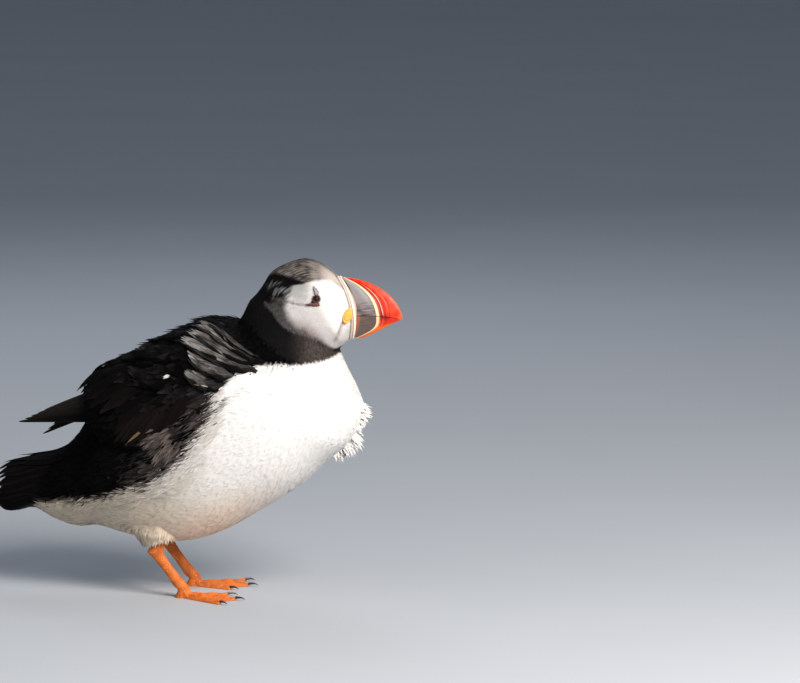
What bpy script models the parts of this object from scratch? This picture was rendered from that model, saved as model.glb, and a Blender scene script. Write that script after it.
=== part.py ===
"""Atlantic puffin, a still life-size model standing on both feet with its head raised.

Metres. +X is the way the bird faces, +Y its left side, +Z up. The bird is modelled as one feathered
form, lofted from the tail tip to the root of the bill and parted with thin cuts into tail, trunk, neck
and head. The folded wings, the legs, the webbed feet, the bill, the eyes and the fleshy face ornaments
are separate solids that meet that form with a small gap.
"""

import math

import bmesh
import bpy
import numpy as np

MM = 0.001
GAP = 0.4 * MM  # clear space between two solids that meet
UP = 0.0  # a station angle of 0 is the ridge of the back, and 180 degrees the keel

# ---------------------------------------------------------------- driving dimensions, millimetres
# One row per station: where the ridge of the back and the line of the belly cross the mid-plane, as
# (x, z), and half the breadth between them. The stations fan round the nape and round the throat.
STATIONS = (
    ("tail tip", (-130, 66), (-129, 52), 9),
    ("tail fan", (-121, 75), (-120, 48), 15),
    ("tail root", (-105, 82), (-105, 51), 18),
    ("coverts", (-91, 87), (-93, 45), 21),
    ("rump", (-80, 95), (-78, 40), 25),
    ("vent", (-70, 109), (-64, 41), 29),
    ("loin", (-62, 126), (-48, 37), 33),
    ("hips", (-51, 140), (-29, 33), 37),
    ("back", (-35, 152), (-7, 33), 41),
    ("belly", (-19, 162), (16, 40), 44),
    ("middle", (-3, 169), (39, 53), 46),
    ("mantle", (10, 173), (64, 69), 47),
    ("keel", (20, 172), (83, 86), 46),
    ("breast", (26, 172), (97, 98), 43),
    ("crop", (29, 175), (104, 114), 39),
    ("shoulders", (31, 179), (101, 126), 34),
    ("collar", (34, 185), (96, 137), 29),
    ("neck", (38, 189), (91, 148), 25.5),
    ("throat", (42, 194.5), (89, 154), 23.5),
    ("nape", (47.6, 202.8), (89, 155), 22.5),
    ("poll", (56.2, 207.8), (90, 156), 22),
    ("crown", (67, 211), (93, 159), 21),
    ("brow", (76.5, 209.2), (93.8, 159.6), 18.7),
    ("lores", (83, 205.2), (95, 160.6), 15),
    ("face", (87.2, 202), (95.7, 161.7), 11.6),
)
NAMES = [row[0] for row in STATIONS]
SECTION_ROUNDNESS = 0.9  # 1 is an ellipse, less is squarer
BODY_SAG = -0.08  # the body is broadest a little below its middle
TAIL_SAG = -0.45  # the closed tail is a ridged roof, much broader below

TAIL_CUT, NECK_CUT, HEAD_CUT = 3.0, 15.0, 18.0  # stations where the body is parted

# The folded wing lies on the trunk. One row per place from the shoulder to the ends of the tertials:
# station, angles of its upper and lower edge, and how far each edge stands proud of the trunk.
WING = (
    ("bend, in the breast feathers", 12.75, 63, 72, 0.9, 0.9),
    ("lesser coverts", 12.2, 46, 75, 1.1, 2.6),
    ("scapulars", 11.0, 29, 80, 2.0, 4.0),
    ("median coverts", 9.3, 25, 86, 3.6, 4.6),
    ("greater coverts", 7.8, 23, 84, 6.4, 4.8),
    ("tertials", 6.6, 19, 74, 9.4, 5.2),
    ("tertial tips", 5.95, 24, 60, 9.0, 5.0),
)
WING_CROWN = 2.2  # more again along the middle of the wing

# The blade of long primaries behind each wing: root edge and tip, as (x, half spread, z).
PRIMARY_ROOT_TOP, PRIMARY_ROOT_BOTTOM = (-74, 17, 125), (-68, 24, 108)
PRIMARY_TIP_RIGHT = (-114, 9, 106)
PRIMARY_TIP_LEFT = (-105, 12, 95.5)
PRIMARY_THICK = 2.6

LEG_SPREAD = 21  # each leg, out from the mid-plane
ANKLE_X = {"right": -6, "left": -10}
ANKLE_Z, SHANK_TOP_Z, SHANK_LEAN = 6.6, 27.6, -17.0
SHANK_FORE_AFT, SHANK_ACROSS = 4.3, 2.6
THIGH_TOP_Z, THIGH_LEAN, THIGH_GROWTH = 66.0, 12.0, 11.0

TOE_ANGLE = {"inner": 27, "middle": 1, "outer": -26}  # degrees inward from straight ahead
TOE_LENGTH = {"inner": 29, "middle": 36, "outer": 35.5}
TOE_SPLAY = 7  # the whole foot turns out
TOE_HALF_WIDTH, TOE_HEIGHT, WEB_THICK, WEB_NOTCH = 2.3, 3.4, 1.0, 0.13
HEEL_RADIUS = 4.2
CLAW_LENGTH, CLAW_RADIUS, CLAW_RISE = 6.0, 1.15, 1.6

# Bill, seen from the side, as cubic Bezier lines of (x, z). The line of its root runs from the top of
# the bill to its chin. The other three start on that line and are given by their later points.
BILL_BASE = ((91.2, 200.2), (101, 192.4), (105, 176), (99.2, 162.4))
CULMEN = ((106, 199.8), (126, 193), (129.8, 174.9))
GONYS = ((108, 161.8), (118, 170.4), (127.9, 174.3))
GAPE = ((110, 177.6), (120, 177.2), (128.9, 174.7))
GAPE_SHARE = 0.655  # how far down the root line the gape opens
BILL_HALF_WIDTH, CULMEN_HALF_WIDTH = 7.8, 1.3
RIDGE_LENGTH = 2.8  # the fleshy ridge round the root of the bill, from back to front
RIDGE_PROUD = 0.7

EYE_AT, EYE_SIZE, EYE_SUNK = (78.9, 188.7), (2.7, 2.4, 2.7), 1.3
PLATE_UPPER_AT, PLATE_UPPER_SIZE = (78.2, 194.3), (1.2, 1.1, 2.4)
PLATE_LOWER_AT, PLATE_LOWER_SIZE = (77.0, 184.7), (4.3, 1.1, 0.95)
ROSETTE_AT, ROSETTE_SIZE = (97.2, -9.7, 177.2), (2.6, 2.0, 4.9)  # the wrinkled skin at the gape
ROSETTE_TURN_DEG = 22  # the face narrows by this much towards the bill

RING = 28  # points round a body section
HALF_TURN = math.pi


# ---------------------------------------------------------------- the feathered form
def catmull_rom(table, t):
    """Rows of a table read at fractional places, on a smooth curve through them."""
    table = np.asarray(table, float)
    last = len(table) - 1
    t = np.asarray(t, float)
    i = np.clip(np.floor(t).astype(int), 0, last - 1)
    f = (t - i)[..., None]
    before, here = table[np.maximum(i - 1, 0)], table[i]
    there, after = table[i + 1], table[np.minimum(i + 2, last)]
    return 0.5 * (
        2 * here
        + (there - before) * f
        + (2 * before - 5 * here + 4 * there - after) * f**2
        + (3 * here - before - 3 * there + after) * f**3
    )


STATION_TABLE = [(*top, *bottom, half) for _, top, bottom, half in STATIONS]


def section_point(t, angle):
    """A point of the body form, in metres: station t, and angle from the ridge, right side first."""
    t, angle = np.broadcast_arrays(np.asarray(t, float), np.asarray(angle, float))
    row = catmull_rom(STATION_TABLE, t) * MM
    top, bottom, half = row[..., 0:2], row[..., 2:4], row[..., 4]
    sag = np.interp(t, (1.0, 4.0), (TAIL_SAG, BODY_SAG))
    along = np.sign(np.cos(angle)) * np.abs(np.cos(angle)) ** SECTION_ROUNDNESS
    across = np.sign(np.sin(angle)) * np.abs(np.sin(angle)) ** SECTION_ROUNDNESS
    middle = (top + bottom) / 2 + (top - bottom) / 2 * along[..., None]
    return np.stack([middle[..., 0], -half * across * (1 + sag * along), middle[..., 1]], axis=-1)


def body_point(t, angle, lift=0.0):
    """The same point, moved outwards by lift along the form's normal."""
    step = 1e-3
    here = section_point(t, angle)
    ahead = section_point(np.asarray(t) + step, angle) - section_point(np.asarray(t) - step, angle)
    around = section_point(t, np.asarray(angle) + step) - section_point(t, np.asarray(angle) - step)
    normal = np.cross(around, ahead)
    normal /= np.linalg.norm(normal, axis=-1, keepdims=True)
    return here + normal * np.asarray(lift)[..., None]


def stations_between(first, last, step):
    return np.linspace(first, last, max(2, round((last - first) / step) + 1))


# ---------------------------------------------------------------- making objects
def material(name, colour, roughness):
    mat = bpy.data.materials.get(name)
    if mat is None:
        mat = bpy.data.materials.new(name)
        mat.use_nodes = True
        shader = mat.node_tree.nodes["Principled BSDF"]
        shader.inputs["Base Color"].default_value = (*colour, 1.0)
        shader.inputs["Roughness"].default_value = roughness
    return mat


BLACK = ("black feathers", (0.012, 0.012, 0.015), 0.75)
WHITE = ("white feathers", (0.86, 0.85, 0.82), 0.85)
GREY_WHITE = ("face feathers", (0.72, 0.71, 0.69), 0.85)
ORANGE = ("leg skin", (0.85, 0.27, 0.05), 0.5)
CLAW = ("claw horn", (0.02, 0.018, 0.016), 0.35)
RED = ("bill sheath", (0.8, 0.09, 0.03), 0.35)
CREAM = ("bill ridge", (0.87, 0.76, 0.55), 0.45)
YELLOW = ("gape skin", (0.93, 0.6, 0.12), 0.5)
SLATE = ("eye plate horn", (0.16, 0.17, 0.2), 0.5)
DARK = ("eye", (0.03, 0.018, 0.012), 0.05)


def collection(name):
    found = bpy.data.collections.get(name)
    if found is None:
        found = bpy.data.collections.new(name)
        bpy.context.scene.collection.children.link(found)
    return found


def place(obj, finish):
    """Puts an object in the puffin's collection, or in the cutters' one where it has no finish."""
    if finish is None:
        obj.hide_render = True
        obj.display_type = "WIRE"
        collection("Cutters").objects.link(obj)
    else:
        obj.data.materials.append(material(*finish))
        collection("Puffin").objects.link(obj)
    return obj


def finish_mesh(mesh, name, finish):
    edit = bmesh.new()
    edit.from_mesh(mesh)
    bmesh.ops.remove_doubles(edit, verts=edit.verts, dist=1e-6)
    bmesh.ops.recalc_face_normals(edit, faces=edit.faces)
    edit.to_mesh(mesh)
    edit.free()
    mesh.shade_smooth()
    mesh.set_sharp_from_angle(angle=math.radians(40))
    return place(bpy.data.objects.new(name, mesh), finish)


def strip_cap(ring):
    """Faces that close a ring whose two halves mirror each other, each one straight across."""
    count = len(ring)
    half = count // 2
    faces = [(ring[0], ring[1], ring[count - 1])]
    faces += [(ring[k], ring[k + 1], ring[count - k - 1], ring[count - k]) for k in range(1, half - 1)]
    faces.append((ring[half - 1], ring[half], ring[half + 1]))
    return faces


def loft(name, rings, finish):
    """A closed solid through rings of as many points each, with caps straight across the bird."""
    rings = np.asarray(rings)
    many, count = rings.shape[:2]
    number = np.arange(many * count).reshape(many, count)
    faces = [
        (number[i, k], number[i, (k + 1) % count], number[i + 1, (k + 1) % count], number[i + 1, k])
        for i in range(many - 1)
        for k in range(count)
    ]
    faces += strip_cap(list(number[0])) + strip_cap(list(number[-1]))
    mesh = bpy.data.meshes.new(name)
    mesh.from_pydata(rings.reshape(-1, 3).tolist(), [], [[int(v) for v in face] for face in faces])
    return finish_mesh(mesh, name, finish)


def slab(name, inner, outer, finish):
    """A closed solid between two grids of the same shape, such as a wing and the trunk below it."""
    rows, columns = inner.shape[:2]
    number = np.arange(rows * columns).reshape(rows, columns)
    shift = rows * columns
    faces = []
    for i in range(rows - 1):
        for k in range(columns - 1):
            quad = (number[i, k], number[i, k + 1], number[i + 1, k + 1], number[i + 1, k])
            faces.append(quad)
            faces.append(tuple(v + shift for v in reversed(quad)))
    rim = [*number[0, :-1], *number[:-1, -1], *number[-1, :0:-1], *number[:0:-1, 0]]
    for a, b in zip(rim, rim[1:] + rim[:1]):
        faces.append((b, a, a + shift, b + shift))
    points = np.concatenate([inner.reshape(-1, 3), outer.reshape(-1, 3)])
    mesh = bpy.data.meshes.new(name)
    mesh.from_pydata(points.tolist(), [], [[int(v) for v in face] for face in faces])
    return finish_mesh(mesh, name, finish)


def cut(obj, cutter):
    modifier = obj.modifiers.new(f"clear of {cutter.name}", "BOOLEAN")
    modifier.operation = "DIFFERENCE"
    modifier.object = cutter


def pebble(name, centre, size, turn, finish):
    """A squashed ball: its half sizes, turned about its own middle by a matrix."""
    edit = bmesh.new()
    bmesh.ops.create_uvsphere(edit, u_segments=12, v_segments=7, radius=1.0)
    mesh = bpy.data.meshes.new(name)
    edit.to_mesh(mesh)
    edit.free()
    points = np.array([v.co for v in mesh.vertices]) * np.asarray(size)
    points = points @ np.asarray(turn).T + np.asarray(centre)
    mesh.vertices.foreach_set("co", points.ravel())
    return finish_mesh(mesh, name, finish)


# ---------------------------------------------------------------- body, wings, tail
def body_length(name, first, last, step, finish, lift=0.0):
    """The stretch of the form between two stations, as one solid."""
    angles = np.arange(RING) * 2 * HALF_TURN / RING
    rings = [body_point(t, angles, np.full(RING, lift)) for t in stations_between(first, last, step)]
    return loft(name, rings, finish)


def cut_station(station, side):
    """A station moved by half the gap, along the mid-line of the form."""
    ahead = section_point(station + 0.01, HALF_TURN) - section_point(station, HALF_TURN)
    ahead_top = section_point(station + 0.01, UP) - section_point(station, UP)
    pace = min(np.linalg.norm(ahead), np.linalg.norm(ahead_top)) / 0.01
    return station + side * GAP / 2 / pace


def face_ring(back, proud=0.0):
    """The outline of the face where the bill is set in it, bowed forward, moved back by so many mm."""
    share = np.linspace(0, 1, RING // 2 + 1)
    line = bezier(BILL_BASE, share) - (back, 0)
    half = (BILL_HALF_WIDTH + 1.2 + proud) * np.sin(HALF_TURN * share) ** 0.7
    half[0] = half[-1] = 0.0
    rise = proud * np.cos(HALF_TURN * share)
    right = np.stack([line[:, 0], -half, line[:, 1] + rise], axis=-1) * MM
    return np.concatenate([right, right[-2:0:-1] * (1, -1, 1)])


def make_body():
    last = len(STATIONS) - 1
    body_length("tail", 0.0, cut_station(TAIL_CUT, -1), 0.34, BLACK)
    body_length("trunk", cut_station(TAIL_CUT, 1), cut_station(NECK_CUT, -1), 0.6, WHITE)
    body_length("neck", cut_station(NECK_CUT, 1), cut_station(HEAD_CUT, -1), 0.6, BLACK)
    angles = np.arange(RING) * 2 * HALF_TURN / RING
    rings = [body_point(t, angles) for t in stations_between(cut_station(HEAD_CUT, 1), last, 0.5)]
    return loft("head", [*rings, face_ring(RIDGE_LENGTH + GAP / MM)], GREY_WHITE)


def wing_grid(sign, outer, rows=19, columns=8):
    """The wing's face next to the trunk, or its outer face, as a grid from shoulder to tip."""
    share = np.linspace(0, 1, rows)
    across = np.linspace(0, 1, columns)[None, :]
    table = catmull_rom([row[1:] for row in WING], share * (len(WING) - 1))
    station, upper, lower, upper_proud, lower_proud = (table[:, k, None] for k in range(5))
    proud = upper_proud + (lower_proud - upper_proud) * across
    proud = proud + WING_CROWN * np.sin(HALF_TURN * across) * np.sin(HALF_TURN * share[:, None]) ** 0.5
    lift = 1.3 * GAP + proud * MM * outer
    points = body_point(station + 0 * across, np.radians(upper + (lower - upper) * across), lift)
    return points * (1, sign, 1)


def make_wing(side, sign, tip):
    slab(f"wing_{side}", wing_grid(sign, 0), wing_grid(sign, 1), BLACK)
    root_top, root_bottom = np.array(PRIMARY_ROOT_TOP) * MM, np.array(PRIMARY_ROOT_BOTTOM) * MM
    end = np.array(tip) * MM
    rings = []
    for share in np.linspace(0, 0.97, 7):
        top = root_top + (end - root_top) * share
        bottom = root_bottom + (end - root_bottom) * share
        middle, half = (top + bottom) / 2, (top - bottom) / 2
        thick = PRIMARY_THICK / 2 * MM * (1 - 0.7 * share)
        angles = np.arange(10) * 2 * HALF_TURN / 10
        out = np.cross(half, end - root_top)
        out /= np.linalg.norm(out)
        rings.append([middle + half * math.cos(a) + out * thick * math.sin(a) for a in angles])
    loft(f"primaries_{side}", np.array(rings) * (1, -sign, 1), BLACK)


# ---------------------------------------------------------------- legs and feet
def leg_ring(side, sign, z, radius_x, radius_y, centre_x, count=14):
    angles = np.arange(count) * 2 * HALF_TURN / count
    x = (ANKLE_X[side] + centre_x + radius_x * np.cos(angles)) * MM
    y = sign * (LEG_SPREAD + radius_y * np.sin(angles)) * MM
    return np.stack([x, y, np.full(count, z * MM)], axis=-1)


def make_leg(side, sign, clearance):
    """The bare shank and, above it, the feathered thigh that widens into the trunk."""
    rings = []
    for share in np.linspace(0, 1, 9):
        z = ANKLE_Z + GAP / MM + (SHANK_TOP_Z - ANKLE_Z - GAP / MM) * share
        knuckle = 1 + 0.22 * abs(2 * share - 1) ** 3
        rings.append(
            leg_ring(side, sign, z, SHANK_FORE_AFT * knuckle, SHANK_ACROSS * knuckle, SHANK_LEAN * share)
        )
    for share in np.linspace(0, 1, 7)[1:]:
        z = SHANK_TOP_Z + (THIGH_TOP_Z - SHANK_TOP_Z) * share
        grown = share**0.6
        fore_aft = SHANK_FORE_AFT * 1.22 + THIGH_GROWTH * grown
        across = SHANK_ACROSS * 1.22 + 0.75 * THIGH_GROWTH * grown
        rings.append(leg_ring(side, sign, z, fore_aft, across, SHANK_LEAN + THIGH_LEAN * share))
    leg = loft(f"leg_{side}", rings, ORANGE)
    cut(leg, clearance)


def foot_reach(angle):
    """How far the foot reaches at an angle inward from straight ahead, in millimetres."""
    toes = sorted((TOE_ANGLE[name], TOE_LENGTH[name]) for name in TOE_ANGLE)
    reach = np.interp(angle, [a for a, _ in toes], [length for _, length in toes])
    for (a, _), (b, _) in zip(toes, toes[1:]):
        share = np.clip((angle - a) / (b - a), 0, 1)
        reach = reach * (1 - WEB_NOTCH * np.sin(HALF_TURN * share))
    outside = np.maximum(toes[0][0] - angle, angle - toes[-1][0])
    side = np.clip(outside / 9.0, 0, 1)
    edge = TOE_HALF_WIDTH / np.sin(np.radians(np.clip(outside, 2.0, 90.0)))
    return np.where(side > 0, np.clip(edge, HEEL_RADIUS, reach), reach)


def foot_height(angle, reach, share):
    """How thick the foot is: toe ridges, webs between them, and the joint under the shank."""
    distance = reach * share
    height = WEB_THICK + 0 * distance
    for name, toe in TOE_ANGLE.items():
        aside = distance * np.sin(np.radians(np.clip(angle - toe, -90, 90)))
        taper = 1 - 0.35 * np.clip(distance / TOE_LENGTH[name], 0, 1)
        ahead = np.cos(np.radians(angle - toe)) > 0
        ridge = (TOE_HEIGHT * taper - WEB_THICK) * np.exp(-((aside / (0.75 * TOE_HALF_WIDTH)) ** 2))
        height = np.maximum(height, WEB_THICK + np.where(ahead, ridge, 0))
    joint = (ANKLE_Z + 1.0) * np.exp(-((distance / 7.5) ** 2))
    height = np.minimum(np.maximum(height, joint), ANKLE_Z)
    return np.where(share > 0.999, np.maximum(height * 0.55, 0.8), height)


def foot_spot(side, sign, angle, distance):
    """(x, y) of a place on the foot, in metres."""
    turn = np.radians(angle - TOE_SPLAY)
    x = ANKLE_X[side] + distance * np.cos(turn)
    y = sign * (LEG_SPREAD - distance * np.sin(turn))
    return x * MM, y * MM


def make_foot(side, sign):
    front = np.linspace(-35.5, 36.5, 25)
    back = np.linspace(66, 294, 6)
    angle = np.concatenate([front, back])
    signed = (angle + 180) % 360 - 180
    reach = foot_reach(signed)
    shares = np.array([0.1, 0.2, 0.34, 0.52, 0.74, 0.93, 1.0])
    edit = bmesh.new()
    top_rings, bottom_rings = [], []
    for share in shares:
        x, y = foot_spot(side, sign, signed, reach * share)
        z = foot_height(signed, reach, share) * MM
        top_rings.append([edit.verts.new(p) for p in zip(x, y, z)])
    for share in (0.5, 1.0):
        x, y = foot_spot(side, sign, signed, reach * share)
        bottom_rings.append([edit.verts.new((a, b, 0.0)) for a, b in zip(x, y)])
    x, y = foot_spot(side, sign, 0.0, 0.0)
    top_middle, bottom_middle = edit.verts.new((x, y, ANKLE_Z * MM)), edit.verts.new((x, y, 0.0))
    loops = top_rings + bottom_rings[::-1]
    for ring, after in zip(loops, loops[1:]):
        for k in range(len(angle)):
            n = (k + 1) % len(angle)
            edit.faces.new((ring[k], ring[n], after[n], after[k]))
    for k in range(len(angle)):
        n = (k + 1) % len(angle)
        edit.faces.new((top_middle, loops[0][n], loops[0][k]))
        edit.faces.new((bottom_middle, loops[-1][k], loops[-1][n]))
    mesh = bpy.data.meshes.new(f"foot_{side}")
    edit.to_mesh(mesh)
    edit.free()
    finish_mesh(mesh, f"foot_{side}", ORANGE)


def make_claw(side, sign, toe):
    """A hooked claw: rings along a bow that starts level at the toe and ends just over the ground."""
    start = TOE_LENGTH[toe] + GAP / MM + 0.1
    rings = []
    for share in np.linspace(0, 0.94, 5):
        angles = np.arange(8) * 2 * HALF_TURN / 8
        x, y = foot_spot(side, sign, TOE_ANGLE[toe], start + CLAW_LENGTH * math.sin(share * 1.2))
        heading = np.array(foot_spot(side, sign, TOE_ANGLE[toe], 1.0)) - foot_spot(side, sign, 0.0, 0.0)
        across = np.array([-heading[1], heading[0], 0]) / np.linalg.norm(heading)
        z = (CLAW_RISE + 0.5 * math.sin(share * 3) - 1.1 * share**2) * MM
        radius = CLAW_RADIUS * MM * (1 - 0.82 * share)
        ring = [across * math.sin(a) * radius + (0, 0, math.cos(a) * radius) for a in angles]
        rings.append(np.array(ring) + (x, y, z))
    loft(f"claw_{toe}_{side}", rings, CLAW)


# ---------------------------------------------------------------- bill
def bezier(points, share):
    """Points of a cubic Bezier line, for an array of shares."""
    a, b, c, d = (np.asarray(p, float) for p in points)
    s = np.asarray(share, float)[..., None]
    return a * (1 - s) ** 3 + 3 * b * s * (1 - s) ** 2 + 3 * c * s**2 * (1 - s) + d * s**3


def bill_line(later, root_share, share):
    """A point of a line that starts on the bill's root, clear of the ridge there."""
    root = bezier(BILL_BASE, root_share) + (GAP / MM, 0)
    return bezier((root, *later), share)


def bill_ring(share, edge, end_share, half_points=7):
    """One growth line of a mandible, from the gape round the edge (culmen or gonys) and back.

    Every growth line bows as the root line does, scaled to its own length.
    """
    along = np.linspace(1, 0, half_points)
    direction = 1 if end_share < GAPE_SHARE else -1
    split = np.array([0, direction * GAP / 2 / MM])
    root = bezier(BILL_BASE, GAPE_SHARE + (end_share - GAPE_SHARE) * along)
    straight = root[-1] + (root[0] - root[-1]) * along[:, None]
    root_chord = root[0] - root[-1]
    turned = np.array([-root_chord[1], root_chord[0]])
    bow_along = (root - straight) @ root_chord / (root_chord @ root_chord)
    bow_out = (root - straight) @ turned / (root_chord @ root_chord)
    gape_end = bill_line(GAPE, GAPE_SHARE, share**0.8) + split
    chord = bill_line(edge, end_share, share**2.6) - gape_end
    line = gape_end + chord * (along + bow_along)[:, None]
    line = line + np.array([-chord[1], chord[0]]) * bow_out[:, None]
    narrow = (1 - share) ** 0.75
    broad = max(BILL_HALF_WIDTH * narrow, 0.9)
    thin = max(CULMEN_HALF_WIDTH * narrow, 0.45)
    half = thin + (broad - thin) * (1 - along**1.6)
    half[0] = 0.0
    right = np.stack([line[:, 0], -half, line[:, 1]], axis=-1)
    under = right[-1] * (1, 0, 1)
    left = right[:0:-1] * (1, -1, 1)
    return np.concatenate([right, [under], left]) * MM


def make_bill():
    shares = np.concatenate([np.linspace(0, 0.9, 10), [0.96]])
    loft("bill_upper", [bill_ring(s, CULMEN, 0.0) for s in shares], RED)
    loft("bill_lower", [bill_ring(s, GONYS, 1.0) for s in shares], RED)


def make_bill_ridge():
    """The pale fleshy ridge between the face and the root of both mandibles."""
    rings = [face_ring(RIDGE_LENGTH), face_ring(RIDGE_LENGTH * 0.7, RIDGE_PROUD)]
    rings += [face_ring(RIDGE_LENGTH * 0.3, RIDGE_PROUD * 0.6), face_ring(0.0, -0.9)]
    return loft("bill_ridge", rings, CREAM)


# ---------------------------------------------------------------- eyes and face ornaments
def upright_axes(out):
    """A matrix whose columns run forwards, out of the face and up, for a way out of the right cheek."""
    out = out / np.linalg.norm(out)
    up = np.array([0, 0, 1.0]) - out * out[2]
    up /= np.linalg.norm(up)
    return np.stack([np.cross(up, out), out, up], axis=-1)


def face_frame(x, z):
    """(place on the right side of the head, its upright axes)."""
    t, angle = np.meshgrid(np.linspace(18.5, 24, 221), np.linspace(0.3, 2.8, 201), indexing="ij")
    points = section_point(t, angle)
    nearest = np.argmin((points[..., 0] - x * MM) ** 2 + (points[..., 2] - z * MM) ** 2)
    t, angle = t.ravel()[nearest], angle.ravel()[nearest]
    centre = body_point(t, angle)
    return centre, upright_axes(body_point(t, angle, MM) - centre)


def make_face_piece(head, name, sunk, place_and_axes, size, finish):
    """The same piece on both cheeks, each in a socket of its own; returns the two sockets."""
    centre, axes = place_and_axes
    sockets = []
    for side, mirror in (("right", np.array([1, 1, 1])), ("left", np.array([1, -1, 1]))):
        spot = (centre - axes[:, 1] * sunk * MM) * mirror
        turn = axes * mirror[:, None]
        pebble(f"{name}_{side}", spot, np.array(size) * MM, turn, finish)
        sockets.append(pebble(f"socket_{name}_{side}", spot, np.array(size) * MM + GAP, turn, None))
        cut(head, sockets[-1])
    return sockets


def make_face(head, ridge):
    """The eyes, the horny plates over and under them and the rosettes at the corners of the gape."""
    make_face_piece(head, "eye", EYE_SUNK, face_frame(*EYE_AT), EYE_SIZE, DARK)
    for name, spot, size in (
        ("eye_plate_upper", PLATE_UPPER_AT, PLATE_UPPER_SIZE),
        ("eye_plate_lower", PLATE_LOWER_AT, PLATE_LOWER_SIZE),
    ):
        make_face_piece(head, name, 0.2, face_frame(*spot), size, SLATE)
    turn = math.radians(ROSETTE_TURN_DEG)
    rosette = np.array(ROSETTE_AT) * MM, upright_axes(np.array([math.sin(turn), -math.cos(turn), 0]))
    for socket in make_face_piece(head, "gape_rosette", 0.6, rosette, ROSETTE_SIZE, YELLOW):
        cut(ridge, socket)


# ---------------------------------------------------------------- assembly
def stand_on_origin():
    """Moves every object so that the middle of the model's box stands on the origin."""
    bpy.context.view_layer.update()
    graph = bpy.context.evaluated_depsgraph_get()
    corners = []
    for obj in collection("Puffin").objects:
        shape = obj.evaluated_get(graph)
        mesh = shape.to_mesh()
        corners += [shape.matrix_world @ v.co for v in mesh.vertices]
        shape.to_mesh_clear()
    corners = np.array(corners)
    low, high = corners.min(axis=0), corners.max(axis=0)
    for obj in [*collection("Puffin").objects, *collection("Cutters").objects]:
        obj.location.x -= (low[0] + high[0]) / 2
        obj.location.y -= (low[1] + high[1]) / 2
        obj.location.z -= low[2]


def main():
    for obj in list(bpy.data.objects):
        bpy.data.objects.remove(obj)
    head = make_body()
    ridge = make_bill_ridge()
    make_bill()
    clearance = body_length("trunk_clearance", TAIL_CUT, NECK_CUT, 0.6, None, lift=GAP)
    for side, sign, tip in (("right", 1, PRIMARY_TIP_RIGHT), ("left", -1, PRIMARY_TIP_LEFT)):
        make_wing(side, sign, tip)
        make_leg(side, -sign, clearance)
        make_foot(side, -sign)
        for toe in TOE_ANGLE:
            make_claw(side, -sign, toe)
    make_face(head, ridge)
    stand_on_origin()


main()
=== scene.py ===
"""Looks of the still Atlantic puffin: skin, feathers, bill, eyes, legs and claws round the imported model.

Metres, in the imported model's own frame: +X is the way the bird faces, +Y its left side, +Z up. The
numbers of the form are millimetres. The feathered form is a surface of two parameters: the station t
from the tail tip (0) to the root of the bill (25), and the angle round the body from the ridge of the
back, right side first. Every feather is a thin closed vane whose root lies at a station and an angle
and which follows the lie of the coat.
"""

import math

import bpy
import numpy as np
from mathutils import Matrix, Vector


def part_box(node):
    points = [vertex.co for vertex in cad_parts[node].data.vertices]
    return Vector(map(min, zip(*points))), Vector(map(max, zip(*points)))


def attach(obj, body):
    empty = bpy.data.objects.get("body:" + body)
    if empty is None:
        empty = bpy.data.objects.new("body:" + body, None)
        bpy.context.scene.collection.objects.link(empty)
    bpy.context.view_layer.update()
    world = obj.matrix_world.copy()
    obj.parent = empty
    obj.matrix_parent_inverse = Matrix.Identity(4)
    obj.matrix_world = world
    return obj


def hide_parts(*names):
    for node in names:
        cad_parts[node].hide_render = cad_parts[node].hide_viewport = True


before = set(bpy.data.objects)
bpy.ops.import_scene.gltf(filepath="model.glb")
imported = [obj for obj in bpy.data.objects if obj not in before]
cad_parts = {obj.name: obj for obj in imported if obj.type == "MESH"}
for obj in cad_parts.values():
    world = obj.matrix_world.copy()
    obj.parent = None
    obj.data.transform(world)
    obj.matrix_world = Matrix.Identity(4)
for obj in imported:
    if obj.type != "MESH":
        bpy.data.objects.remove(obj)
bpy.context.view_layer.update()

MM = 0.001
GAP = 0.4
HALF_TURN = math.pi
FULL_TURN = 2 * math.pi
SIDES = (("right", -1), ("left", 1))

# ---------------------------------------------------------------- the form's own numbers, millimetres
# Ridge of the back (x, z), line of the belly (x, z) and half the breadth, station by station.
STATIONS = (
    (-130, 66, -129, 52, 9),
    (-121, 75, -120, 48, 15),
    (-105, 82, -105, 51, 18),
    (-91, 87, -93, 45, 21),
    (-80, 95, -78, 40, 25),
    (-70, 109, -64, 41, 29),
    (-62, 126, -48, 37, 33),
    (-51, 140, -29, 33, 37),
    (-35, 152, -7, 33, 41),
    (-19, 162, 16, 40, 44),
    (-3, 169, 39, 53, 46),
    (10, 173, 64, 69, 47),
    (20, 172, 83, 86, 46),
    (26, 172, 97, 98, 43),
    (29, 175, 104, 114, 39),
    (31, 179, 101, 126, 34),
    (34, 185, 96, 137, 29),
    (38, 189, 91, 148, 25.5),
    (42, 194.5, 89, 154, 23.5),
    (47.6, 202.8, 89, 155, 22.5),
    (56.2, 207.8, 90, 156, 22),
    (67, 211, 93, 159, 21),
    (76.5, 209.2, 93.8, 159.6, 18.7),
    (83, 205.2, 95, 160.6, 15),
    (87.2, 202, 95.7, 161.7, 11.6),
)
FACE_END = 25.0  # the station where the face meets the bill's ridge
SECTION_ROUNDNESS, BODY_SAG, TAIL_SAG = 0.9, -0.08, -0.45

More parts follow.
